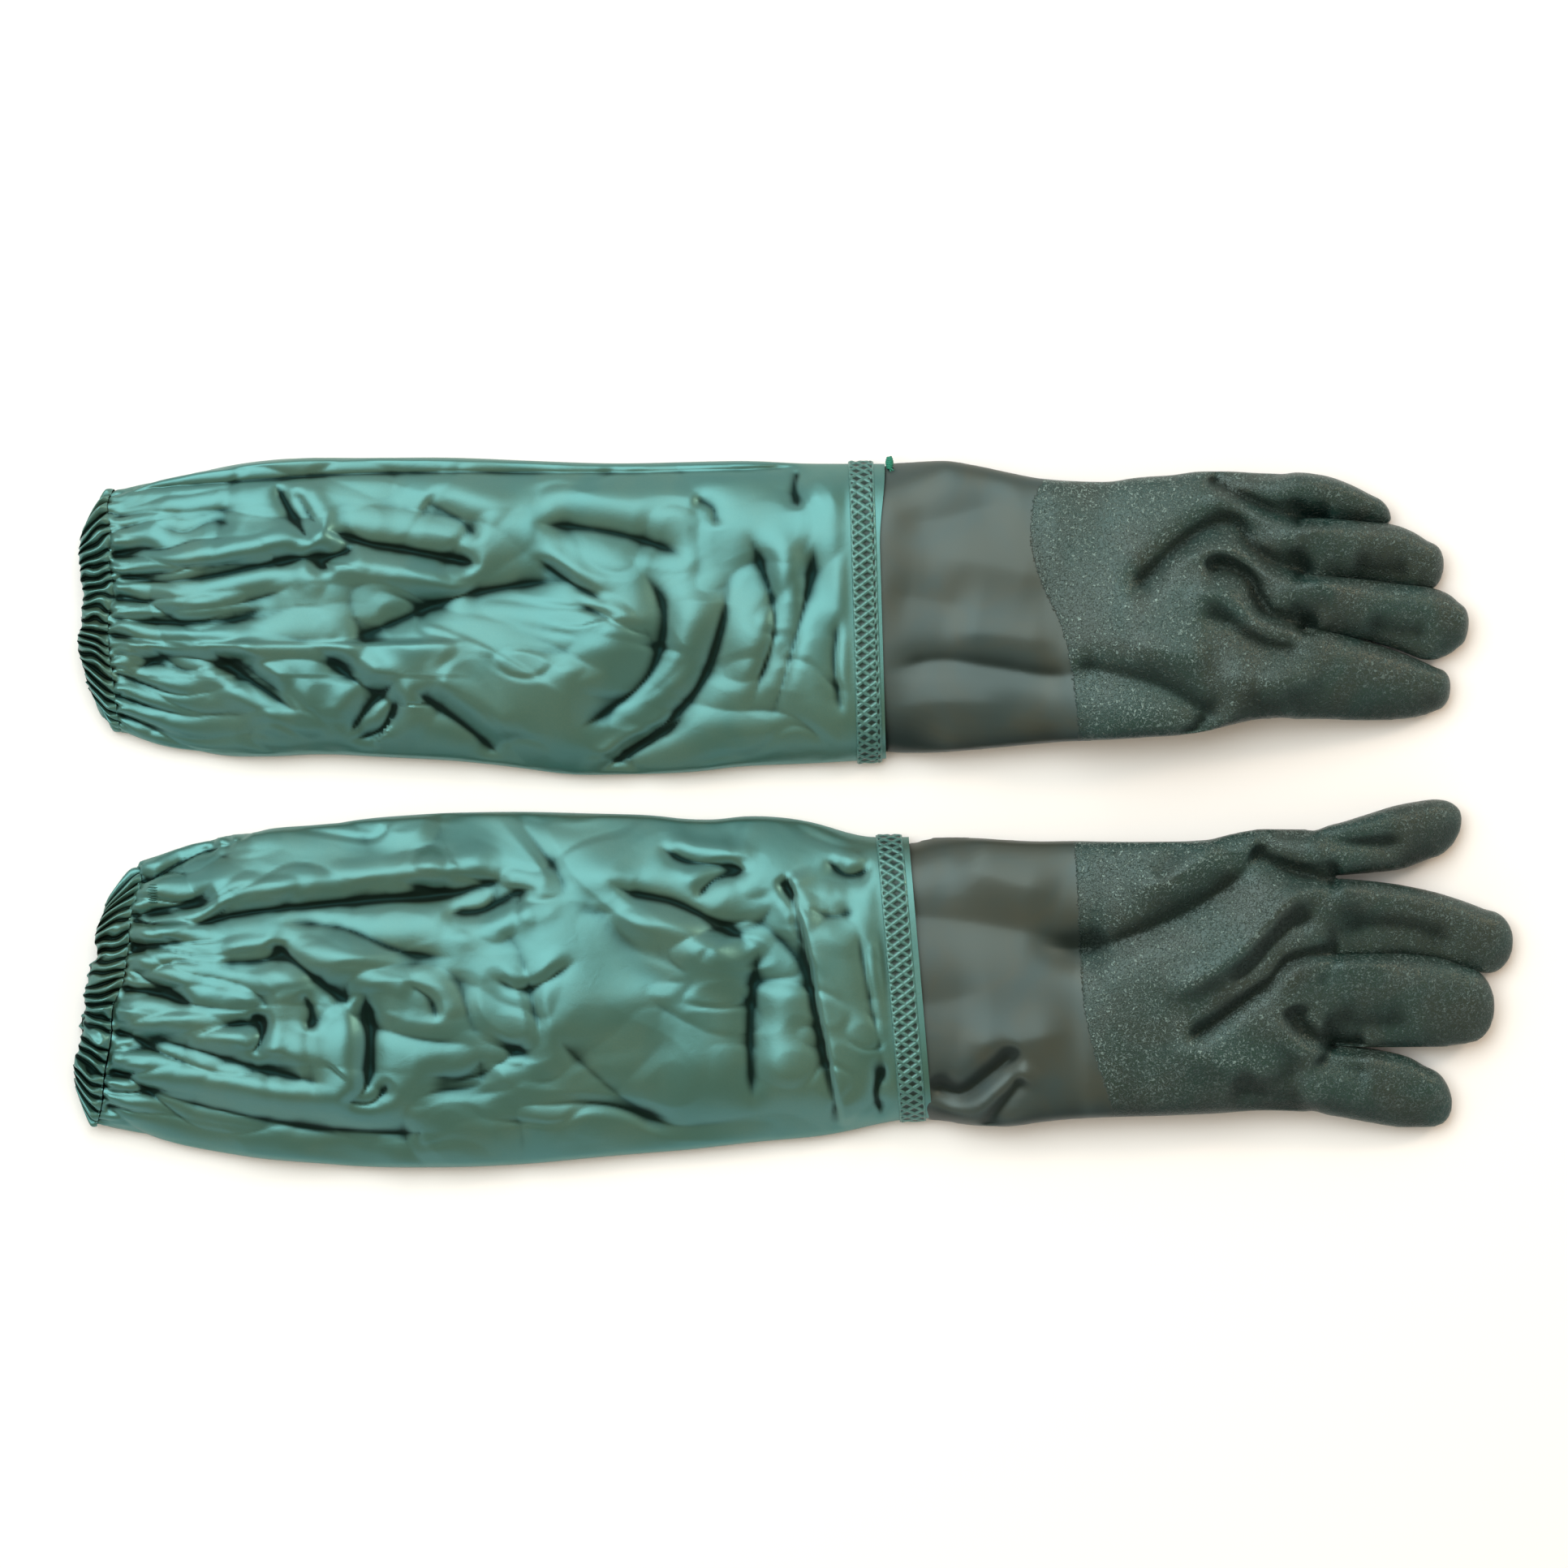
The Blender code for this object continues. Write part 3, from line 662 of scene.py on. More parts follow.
def sleeve_grid(glove):
    """The sleeve's surface from the hem's stitch line to its lip, as a grid of points."""
    start, start_skew = glove["stitch"]
    band_start, band_end, band_skew = glove["band"]
    end = band_end + LIP
    rng = np.random.default_rng(glove["seed"])
    cloth = None
    for cols, rounds, stiff in RELAXING:
        rows = int((end - start) / (338 / cols)) // 2 * 2
        xs = np.linspace(start, end, rows)
        skews = start_skew + (band_skew - start_skew) * smooth(xs, start, start + 90)
        target = np.array([sleeve_ring(glove, x, skew, cols)[0] for x, skew in zip(xs, skews)])
        free = smooth(xs, start, start + 12) * (1 - smooth(xs, band_start - 26, band_start - 4))
        loose = free[:, None] * smooth(target[..., 2], SIDE_Z + 1, SIDE_Z + 9)
        cloth, shaken = (target.copy(), 3.2) if cloth is None else (refined(cloth, rows, cols), 0.2)
        cloth[..., 2] += shaken * loose * rng.standard_normal((rows, cols))
        hold = np.maximum(0.02, 0.4 * (1 - loose))[..., None]
        extra_v = (0.010 + 0.02 * np.exp(-(xs - start) / 60)) * free
        cloth = relax(cloth, target, extra_v, 0.006, hold, rounds, stiff)

    near = np.arange(start, start + 45, SEEN_NEAR)
    far = np.linspace(start + 45, end, int((end - start - 45) / SEEN_FAR))
    fine_x = np.concatenate([near, far])
    cloth = resample(cloth, (fine_x - start) / (end - start) * (rows - 1), wrap=False)
    cloth = refined(cloth, len(fine_x), SLEEVE_COLS)
    if glove["flap"]:  # the lip stands out further at one side
        past = np.maximum(fine_x - band_end, 0)[:, None]
        cloth[..., 0] += past * (1.3 * smooth(cloth[..., 1], glove["flap"] - 38, glove["flap"]) - 0.45)
    free = smooth(fine_x, start, start + 10) * (1 - smooth(fine_x, band_start - 9, band_start - 1))
    top = smooth(cloth[..., 2], SIDE_Z - 0.5, SIDE_Z + 5) * free[:, None]
    creased = [{**f, "power": 1.1} for f in glove["sleeve_folds"]]
    raised = 1.3 * folded(cloth[..., :2].reshape(-1, 2), creased).reshape(top.shape)
    raised += undulations(cloth[..., 0], cloth[..., 1], glove["seed"])
    cloth[..., 2] = np.maximum(cloth[..., 2] + raised * top, LOWEST)
    return gathered(glove, cloth, fine_x - start)


def pleat_wave(glove, count, turn, along, calm=1.0):
    """Rounded pleats with narrow creases between them, wandering as they run; and their phase."""
    turn, along = np.broadcast_arrays(turn, along)
    third, along = count // 3, along / calm
    drift = 0.55 * value_noise(along / 14 + 9, turn * third, glove["seed"] + count, third)
    drift = drift + 0.3 / calm * value_noise(along / 6 + 31, turn * count, glove["seed"] + 2 * count, count)
    phase = count * turn + drift
    return 2.0 * np.abs(np.sin(math.pi * phase)) ** 0.7 - 1.3, phase


def gathered(glove, cloth, away):
    """Adds the gathers that fan out from the hem and die away up the sleeve."""
    normal = grid_normals(cloth)
    cols = cloth.shape[1]
    turn = (np.arange(cols) / cols)[None, :]
    away = away[:, None]
    seed = glove["seed"]
    for count, height, reach, calm in ((PLEATS, 1.5, 5, 1), (23, 2.7, 26, 2.2), (12, 3.6, 46, 3)):
        wave, _ = pleat_wave(glove, count, turn, away, calm)
        half = count // 2
        places = np.broadcast_arrays(away / (2 * reach) + 3, turn * half)
        strength = 0.65 + 0.6 * value_noise(*places, seed + count + 8, half)
        rise = smooth(away, 0, 3) if count != PLEATS else 1
        cloth = cloth + (height * rise * np.exp(-away / reach) * strength * wave)[..., None] * normal
    cloth[..., 0] += wandering(glove, turn) * np.exp(-away / 9)
    cloth[..., 2] = np.maximum(cloth[..., 2], LOWEST)
    return cloth


def wandering(glove, turn):
    """How far the line that shuts the casing strays along the sleeve."""
    return 2.0 * value_noise(0 * turn, turn * 17, glove["seed"] + 71, 17)


def hollows(grid, times):
    """How far each point of a tube's grid lies below the surface around it."""
    blurred = grid.copy()
    for _ in range(times):
        blurred = 0.5 * blurred + 0.25 * (np.roll(blurred, 1, axis=1) + np.roll(blurred, -1, axis=1))
        blurred[1:-1] = 0.5 * blurred[1:-1] + 0.25 * (blurred[2:] + blurred[:-2])
    return ((blurred - grid) * grid_normals(blurred)).sum(2)


def mark(piece, name, values):
    """Writes one number for each point of the piece, for its material to read."""
    made = piece.data.attributes.new(name, "FLOAT", "POINT")
    made.data.foreach_set("value", np.asarray(values, np.float32).ravel())


# ------------------------------------------------------------------ hem, band and seam

HEM_COLS = 720
PLEATS = 42
HEM_ROWS = 46
HEM_REACH = 14.5  # from the stitch line to the mouth, at the middle of the hem
HEM_PROFILE = (  # from outside the stitch over the mouth to the raw edge: share of the way, depth
    (-0.03, 0.1), (0.12, 0.9), (0.35, 1.5), (0.6, 1.3), (0.8, 0.8), (0.93, 0.0), (1.0, -1.2), (0.94, -2.4),
    (0.8, -2.9), (0.5, -3.0), (0.1, -2.8),
)
ELASTIC = (0.3, 0.7)  # where the elastic lies, as shares of the way from the stitch to the mouth
STITCHES = 96
TACK = 2.3  # half the length of a bar tack's threads
BAND_COLS = 960
DIAMOND_AROUND, DIAMOND_ALONG = 2.4, 7.0  # size of the weld band's diamonds


def hem_ring(glove, share, count):
    """A ring of the gathered mouth, the way out of it and the way along it; share runs from 0 at
    the stitch to 1 at the very mouth."""
    start, skew = glove["stitch"]
    ring, _ = sleeve_ring(glove, start, skew, count)
    middle = ring[:, 1].mean()
    across = (ring[:, 1] - middle) / (ring[:, 1].max() - middle)
    wide = 1 - 0.25 * max(share, 0.0) ** 1.2
    ring[:, 1] = middle + (ring[:, 1] - middle) * wide
    ring[:, 0] = start + skew * (ring[:, 1] - middle) - share * (HEM_REACH - 2.5 * np.abs(across) ** 3)
    ring[:, 0] += wandering(glove, np.arange(count) / count) * (1 - 0.5 * share)
    ring[:, 2] = 0.6 + (ring[:, 2] - 0.5) * (1 - 0.14 * share)
    tangent, out = ring_frame(ring, 2)
    return ring, out, tangent


def hem_row(glove, share, depth, part, count):
    """A pleated ring; part runs from 0 at the stitch, over the mouth, to 1 at the raw edge."""
    seed = glove["seed"]
    turn = np.arange(count) / count
    ring, out, tangent = hem_ring(glove, share, count)
    _, phase = pleat_wave(glove, PLEATS, turn, -14.0 * share)
    thin = float(smooth(share, 0.0, 0.3))
    wave = 2.0 * np.abs(np.sin(math.pi * phase)) ** (0.7 + 1.5 * thin) - 1.3 + 0.55 * thin
    strength = 0.85 + 0.5 * value_noise(np.full(count, share), turn * 21, seed + 32, 21)
    size = 2.9 * strength * (0.5 + 0.5 * math.sin(math.pi * min(max(part * 1.35, 0.05), 0.95)))
    bulge = (0.2 * thin - 0.3) * size * np.sin(2 * math.pi * phase)
    lean = 1.0 * value_noise(np.full(count, 2.2 * share + 50), turn * PLEATS, seed + 33, PLEATS) * share
    point = ring + (depth + size * wave)[:, None] * out + (bulge + lean)[:, None] * tangent
    ragged = value_noise(np.full(count, 80.0), turn * 22, seed + 34, 22)
    point[:, 0] += share * (0.5 * wave + 1.8 * ragged)
    point[:, 2] = np.maximum(point[:, 2], 0.25)
    return point


def make_hem(glove, side, fabric):
    """The casing: pleated fabric folded over the elastic, with its raw edge stitched inside."""
    profile, last = rounded(HEM_PROFILE, HEM_ROWS), HEM_ROWS - 1
    rows = [hem_row(glove, share, depth, k / last, HEM_COLS) for k, (share, depth) in enumerate(profile)]
    grid = np.array(rows)[::-1]
    hem = make_object(f"{side}_hem", grid.reshape(-1, 3), tube_faces(HEM_ROWS, HEM_COLS), fabric)
    # the mask for the satin's painted shade: the offset darkens most of the casing, and the gaps between its
    # pleats most of all
    mark(hem, "hollow_shade", 1.3 + 3.0 * hollows(grid, 45))
    return hem


def make_elastic(glove, side, material):
    """The elastic inside the casing, gathered with it."""
    across = np.linspace(*ELASTIC, 6)
    loop = [(share, -1.0) for share in across] + [(share, -1.6) for share in across[::-1]]
    rows = [hem_row(glove, share, depth, 0.37, HEM_COLS) for share, depth in loop]
    faces = tube_faces(len(rows), HEM_COLS, close_rows=True)[:, ::-1]
    return make_object(f"{side}_elastic", np.array(rows).reshape(-1, 3), faces, material, sharp=40)


def thread_piece(start, end, radius, up, sides=6):
    """Points and faces of one stitch: a short thread that dives in at both ends."""
    start, end = np.asarray(start, float), np.asarray(end, float)
    along = end - start
    t = np.linspace(0, 1, 7)
    line = start + along * t[:, None] + up * (np.sin(math.pi * t) ** 0.6 * 2 * radius - 1.2 * radius)[:, None]
    forward = along / np.linalg.norm(along)
    across = np.cross(forward, up)
    across /= max(np.linalg.norm(across), 1e-9)
    angle = np.arange(sides) * 2 * math.pi / sides
    round_ = np.cos(angle)[:, None] * across + np.sin(angle)[:, None] * np.cross(across, forward)
    size = radius * np.minimum(1, 0.35 + 2.2 * np.minimum(t, 1 - t))
    points = line[:, None, :] + size[:, None, None] * round_[None]
    return points.reshape(-1, 3), tube_faces(7, sides)


def join_parts(parts):
    """Several bodies' points and faces as one."""
    points, faces, count = [], [], 0
    for p, f in parts:
        points.append(p)
        faces += [tuple(i + count for i in face) for face in f]
        count += len(p)
    return np.vstack(points), faces


def make_stitches(glove, side, grid, material):
    """Short stitches round the line that shuts the casing, and the bar tack beside it."""
    ring, out, _ = hem_ring(glove, 0.0, 4 * STITCHES)
    parts = []
    for a in range(0, 4 * STITCHES, 4):
        b, up = a + 3, out[a]
        parts.append(thread_piece(ring[a] - 0.5 * up, ring[b] - 0.5 * up, 0.22, up))
    if glove["tack"]:
        x, near, far = glove["tack"]
        upper = grid[grid[..., 2] > SIDE_Z + 4]
        up = np.array([0.0, 0.0, 1.0])
        for y in np.linspace(near, far, 9):
            ends = []
            for u, v in ((x - TACK, y), (x + TACK, y - 0.25)):
                below = upper[np.argmin(np.hypot(upper[:, 0] - u, upper[:, 1] - y))]
                ends.append((u, v, below[2] + 0.25))
            parts.append(thread_piece(*ends, 0.36, up))
    return make_object(f"{side}_hem_threads", *join_parts(parts), material)


def make_band(glove, side, material):
    """The weld band: a raised hoop embossed with diamonds."""
    start, end, skew = glove["band"]
    edge = ((start, -0.1), (start + 0.05, 0.25), (start + 0.35, 0.45))
    inner = [(x, 0.5) for x in np.linspace(start + 0.7, end - 0.7, 30)]
    profile = [*edge, *inner, (end - 0.35, 0.45), (end - 0.05, 0.25), (end, -0.1)]
    rows, pits = [], []
    for x, lift in profile:
        ring, perimeter = sleeve_ring(glove, x, skew, BAND_COLS, lift=lift)
        beyond, _ = sleeve_ring(glove, x, skew, BAND_COLS, lift=lift + 0.5)
        a = np.arange(BAND_COLS) / BAND_COLS * round(perimeter / DIAMOND_AROUND) / 2
        b = (x - start) / DIAMOND_ALONG
        ridge = np.maximum(np.abs(np.cos(math.pi * (a + b))), np.abs(np.cos(math.pi * (a - b)))) ** 5
        inside = smooth(min(x - start, end - x), 0.5, 1.0)
        rows.append(ring + (0.55 * inside * (ridge - 0.5))[:, None] * (beyond - ring) / 0.5)
        pits.append(inside * (1 - ridge))
    faces = tube_faces(len(rows), BAND_COLS)
    band = make_object(f"{side}_band", np.array(rows).reshape(-1, 3), faces, material)
    # the pits' depth, the mask for the tape's painted shade in them
    mark(band, "hollow_shade", pits)
    return band


def make_seam_tape(side, grid, near_far, material):
    """The tape that is welded inside the sleeve along its seam."""
    cols = grid.shape[1]
    normal = grid_normals(grid)
    edge = np.argmax(grid[:, :, 1].mean(0)) if near_far > 0 else np.argmin(grid[:, :, 1].mean(0))
    picked = [(edge + near_far * k) % cols for k in range(4, 13)]
    body = grid[8:-14][:, picked]
    out = normal[8:-14][:, picked]
    upper, lower = body - 0.5 * out, body - 1.0 * out
    rows, n = len(body), len(picked)
    points = np.concatenate([upper.reshape(-1, 3), lower.reshape(-1, 3)])
    top = strip_faces(rows, n)
    bottom = top[:, ::-1] + rows * n
    return make_object(f"{side}_seam_tape", points, np.vstack([top, bottom]), material)


# ------------------------------------------------------------------ hand

SPARE = 1.4  # the fingers are this much thinner each side while the hand is fused, then fill out
SPLIT_BACK = 6.0  # how far behind the knuckle line a finger's own piece starts
WEB = 13.0  # how far the palm runs on between the fingers
LEAN = 3.4  # how much higher a finger's back is on its +Y side
FINGER_LOW = {"little": 7.0, "ring": 3.0, "middle": 0.5, "index": 0.0}
SKIN_LOWEST = 0.25  # no part of the dipped hand lies lower than this
WINDOW = (-0.13, 0.47, 0.87)  # the way the soft light comes from; skin facing it gets painted highlights, skin facing away painted shade


def superellipse(x, low, high, under, top, count=56, blunt=0.62, crown=0.72):
    """A closed section at x between those edges, squarer the smaller blunt and crown are."""
    angle = np.arange(count) * 2 * math.pi / count - math.pi / 2
    c, s = np.cos(angle), np.sin(angle)
    y = (low + high) / 2 + (high - low) / 2 * np.sign(c) * np.abs(c) ** blunt
    z = (under + top) / 2 + (top - under) / 2 * np.sign(s) * np.abs(s) ** crown
    return np.stack([np.full(count, x), y, z], axis=1)


def closed_loops(loops):
    """Points and faces of a body through loops, closed at both ends."""
    loops = np.array(loops)
    rows, cols = loops.shape[:2]
    points = np.vstack([loops.reshape(-1, 3), loops[0].mean(0), loops[-1].mean(0)])
    v = np.arange(cols)
    ahead = (v + 1) % cols
    faces = [tuple(f) for f in tube_faces(rows, cols)]
    last = (rows - 1) * cols
    faces += [(rows * cols, b, a) for a, b in zip(v, ahead)]
    faces += [(rows * cols + 1, last + a, last + b) for a, b in zip(v, ahead)]
    return points, faces


def tucked(loop, low, high, share, depth, inward):
    """Moves a cuff's own section part of the way to the flat one that fits inside the sleeve's end."""
    s = np.clip((loop[:, 1] - (low + high) / 2) / ((high - low) / 2), -1, 1)
    under, over = lying(s, CREST[-1][1])
    flat = np.where(loop[:, 2] > loop[:, 2].mean(), over - depth, under + 1.0)
    loop[:, 2] += share * (flat - loop[:, 2])
    loop[:, 1] -= inward * s


def palm_loops(glove, web):
    """The cuff and palm, ending in a web that runs that far between the fingers."""
    stations = np.array(glove["hand"], float)
    little_side = -glove["outward"]
    loops = []
    end = stations[-1, 0]
    band_start, band_end, _ = glove["band"]
    for x in [*np.arange(stations[0, 0], end, 3.5), *(end + web * np.array([0.0, 0.35, 0.65, 0.85, 0.97]))]:
        low, high, under, top = (read_at(stations, min(x, end), k) for k in range(1, 5))
        past = max(x - end, 0) / web
        mid, half = (under + top) / 2, (top - under) / 2 * math.sqrt(1 - past**2)
        side_in = 3.0 * past
        loop = superellipse(x, low + side_in, high - side_in, mid - half, mid + half)
        across = (loop[:, 1] - (low + high) / 2) / ((high - low) / 2) * little_side
        drop = max(under - 2, 0) * smooth(across, -0.35, 0.95)
        upper = (loop[:, 2] - under) / (top - under)
        loop[:, 2] -= drop * (1 - 0.42 * upper)
        hidden = 1 - smooth(x, band_end + 4, band_end + 34)
        if hidden > 0:
            inward = 2.4 * float(1 - smooth(x, band_end - 1, band_end + 8))
            lower = 1.5 + 3.5 * float(1 - smooth(x, band_start - 3, band_start + 8))
            tucked(loop, low, high, float(hidden), lower, inward)
        loops.append(loop)
    return loops


def finger_line(finger, x):
    """The near and far edge of a finger at x."""
    stations = np.array(finger[0], float)
    inside = np.clip(np.asarray(x, float), stations[0, 0], stations[-1, 0])
    return [curve(stations[:, 0], stations[:, k], inside) for k in (1, 2)]


def finger_loops(glove, name, slim):
    """The sections of a stall, slim thinner on each side, from inside the palm to its tip."""
    finger = glove["fingers"][name]
    stations, tip, lifted = finger
    knuckle, last = glove["knuckles"], stations[-1][0]
    places = [(x, 1.0) for x in np.arange(knuckle - 24, last, 3)]
    places += [(last + (tip[0] - last) * math.sin(a), math.cos(a)) for a in np.linspace(0, 1.45, 9)]
    loops = []
    for x, full in places:
        low, high = (float(e) for e in finger_line(finger, x))
        middle, half = (low + high) / 2, (high - low) / 2 - SPARE - slim
        if x > last:
            middle += (tip[1] - middle) * ((x - last) / (tip[0] - last)) ** 1.5
        share = min(max((x - knuckle) / (tip[0] - knuckle), 0), 1)
        under, top = (read_at(FINGER_RISE, share, k) for k in (1, 2))
        low_base = FINGER_LOW[name] * (1 - share)
        under, top = max(under - 1.35 * low_base, 0.3) + lifted * share, top - low_base + lifted * share
        middle_z, tall = (under + top) / 2, (top - under) / 2 * (0.35 + 0.65 * full)
        size = half * max(full, 0.06)
        lean = LEAN * min(1, max((x - knuckle) / 12 + 0.4, 0)) * full
        thick = tall * max(full, 0.12) ** 0.4
        edges = (middle - size, middle + size, middle_z - thick, middle_z + thick)
        loop = superellipse(x, *edges, 32, 0.82, 0.9)
        upper = np.clip((loop[:, 2] - middle_z) / thick, 0, 1)
        loop[:, 2] += lean * upper * ((loop[:, 1] - middle) / size - 0.25)
        loops.append(loop)
    return loops


def remeshed(parts, voxel):
    """The parts fused into one skin: its points and its four-sided faces."""
    mesh = bpy.data.meshes.new("fusing")
    points, faces = join_parts(parts)
    mesh.from_pydata((points * MM).tolist(), [], faces)
    body = bpy.data.objects.new("fusing", mesh)
    bpy.context.scene.collection.objects.link(body)
    fuse = body.modifiers.new("fuse", "REMESH")
    fuse.mode = "VOXEL"
    fuse.voxel_size = voxel * MM
    made = body.evaluated_get(bpy.context.evaluated_depsgraph_get()).to_mesh()
    points = np.zeros(len(made.vertices) * 3, np.float32)
    made.vertices.foreach_get("co", points)
    corners = np.zeros(len(made.loops), np.int32)
    made.loops.foreach_get("vertex_index", corners)
    bpy.data.objects.remove(body)
    return points.reshape(-1, 3).astype(float) / MM, corners.reshape(-1, 4)


def edges_of(faces):
    pairs = np.vstack([faces[:, [0, 1]], faces[:, [1, 2]], faces[:, [2, 3]], faces[:, [3, 0]]])
    return np.unique(np.sort(pairs, axis=1), axis=0)


def smoothed(points, edges, times, amount=0.5):
    counts = np.bincount(edges.ravel(), minlength=len(points))[:, None]
    for _ in range(times):
        total = np.zeros_like(points)
        for k in range(3):
            for near, far in ((0, 1), (1, 0)):
                total[:, k] += np.bincount(edges[:, near], points[edges[:, far], k], len(points))
        points = points + amount * (total / counts - points)
    return points


def point_normals(points, faces):
    a, b = points[faces[:, 2]] - points[faces[:, 0]], points[faces[:, 3]] - points[faces[:, 1]]
    face = np.cross(a, b)
    total = [sum(np.bincount(faces[:, c], face[:, k], len(points)) for c in range(4)) for k in range(3)]
    total = np.stack(total, axis=1)
    return total / np.maximum(np.linalg.norm(total, axis=1), 1e-9)[:, None]


def nearest_finger(glove, points):
    """For each point, which finger's line it is nearest to, in finger widths, none past its tip."""
    away = []
    for name in FINGERS:
        finger = glove["fingers"][name]
        low, high = finger_line(finger, points[:, 0])
        beyond = np.maximum(points[:, 0] - finger[1][0], 0)
        away.append(np.abs(points[:, 1] - (low + high) / 2) / ((high - low) / 2) + beyond)
    return np.argmin(away, axis=0)


def fused_hand(glove, voxel, inset):
    """The dipped hand as one skin, with each face's finger, told before the fingers fill out."""
    web, slim = (WEB, 0.0) if not inset else (3.0, 2.0)
    parts = [closed_loops(palm_loops(glove, web))]
    parts += [closed_loops(finger_loops(glove, name, slim)) for name in FINGERS]
    points, faces = remeshed(parts, voxel)
    edges = edges_of(faces)
    points = smoothed(points, edges, 5)
    knuckle = glove["knuckles"]
    owner, face_owner = nearest_finger(glove, points), nearest_finger(glove, points[faces].mean(1))
    web_end = glove["hand"][-1][0] + WEB
    ramp = smooth(points[:, 0], web_end - 4, web_end + 3)
    late = smooth(points[:, 0], knuckle - 4, knuckle + 7)
    outer_side = {"little": -glove["outward"], "index": glove["outward"]}
    for k, name in enumerate(FINGERS):
        low, high = finger_line(glove["fingers"][name], points[:, 0])
        middle, half = (low + high) / 2, (high - low) / 2
        outer = (points[:, 1] - middle) * outer_side.get(name, 0) > 0
        spread = np.where(outer, (SPARE + 0.5) * late, (SPARE + 1.4) * ramp)
        points[:, 1] += (owner == k) * (points[:, 1] - middle) * spread / half
    normals = point_normals(points, faces)
    upward = smooth(normals[:, 2], 0.15, 0.7)
    points[:, 2] += folded(points[:, :2], glove["hand_folds"]) * upward
    points = smoothed(points, edges, 1, 0.4)
    points[:, 2] = np.maximum(points[:, 2], SKIN_LOWEST)
    normals = point_normals(points, faces)
    relief_and_light = ((points - smoothed(points, edges, 36)) * normals).sum(1)
    # painted light: this term raises the value where the skin faces the soft light and lowers it where it
    # faces away, so the material paints highlights and shade by it
    relief_and_light += 1.5 * (smooth(normals @ np.array(WINDOW), 0.35, 0.98) - 0.6)
    return points, faces, normals, relief_and_light, face_owner


def coat_reach(glove, points):
    """How far each point lies inside the rough coat, in millimetres; negative on the smooth cuff."""
    edge = np.array(glove["coat"], float)
    edge = edge[np.argsort(edge[:, 1])]
    return points[:, 0] - curve(edge[:, 1], edge[:, 0], points[:, 1])


def cut_piece(name, points, faces, normals, keep, material, reach, relief_and_light):
    """The faces picked by keep as a piece of its own that keeps the whole skin's shading."""
    used, renamed = np.unique(faces[keep], return_inverse=True)
    piece = make_object(name, points[used], renamed.reshape(-1, 4), material)
    mark(piece, "coat", reach[used])
    mark(piece, "relief_and_light", relief_and_light[used])
    piece.data.normals_split_custom_set_from_vertices(normals[used].tolist())
    return piece


def make_hand(glove, side, suffix, voxel, inset, material):
    """Cuff, palm and fingers cut from one fused skin, drawn in by inset."""
    points, faces, normals, relief_and_light, owner = fused_hand(glove, voxel, inset)
    points = points - inset * normals
    if inset:
        points[:, 2] = np.maximum(points[:, 2], 0.3 + inset)
    middle = points[faces].mean(1)
    wrist, knuckle = glove["wrist"], glove["knuckles"]
    reach = coat_reach(glove, points)
    in_finger = middle[:, 0] > knuckle - SPLIT_BACK
    pieces = {"cuff": middle[:, 0] < wrist, "palm": (middle[:, 0] >= wrist) & ~in_finger}
    pieces.update({name: in_finger & (owner == k) for k, name in enumerate(FINGERS)})
    return {
        part: cut_piece(f"{side}_{part}_{suffix}", points, faces, normals, keep, material, reach, relief_and_light)
        for part, keep in pieces.items()
    }


# Thumb: (place along it from its base, half width, underside z, top z)
THUMB = (
    (-16.5, 4, 3.5, 10),
    (-14.5, 9, 1.6, 12.2),
    (-10, 13.2, 0.5, 13.6),
    (0, 16.3, 0.3, 14.0),
    (14, 16, 0.3, 13.6),
    (28, 14.8, 0.3, 13),
    (40, 13.8, 0.3, 12),
    (48, 12.2, 0.4, 11.2),
    (54, 9.2, 1.0, 10),
    (57, 5.5, 2.4, 8.6),
)
THUMB_PLACE = {"left": (164, 57, 40), "right": (181, -37, -40)}  # x and y of its base, degrees


def make_thumb(side, suffix, inset, material):
    """The thumb stall, tucked under the palm."""
    base_x, base_y, degrees = THUMB_PLACE[side]
    loops = []
    for x, w, under, top in THUMB:
        if w > inset + 1:
            edges = (-w + inset, w - inset, under + inset, top - inset)
            loops.append(superellipse(x * (1 - inset / 40), *edges, 32, 0.8, 0.85))
    points, faces = remeshed([closed_loops(loops)], 1.3)
    points = smoothed(points, edges_of(faces), 3)
    turn = math.radians(degrees)
    x, y = points[:, 0].copy(), points[:, 1].copy()
    points[:, 0] = base_x + x * math.cos(turn) - y * math.sin(turn)
    points[:, 1] = base_y + x * math.sin(turn) + y * math.cos(turn)
    points[:, 2] = np.maximum(points[:, 2], SKIN_LOWEST)
    normals = point_normals(points, faces)
    everything = np.ones(len(faces), bool)
    coated, level = np.full(len(points), 20.0), np.zeros(len(points))
    return cut_piece(f"{side}_thumb_{suffix}", points, faces, normals, everything, material, coated, level)


# ------------------------------------------------------------------ materials


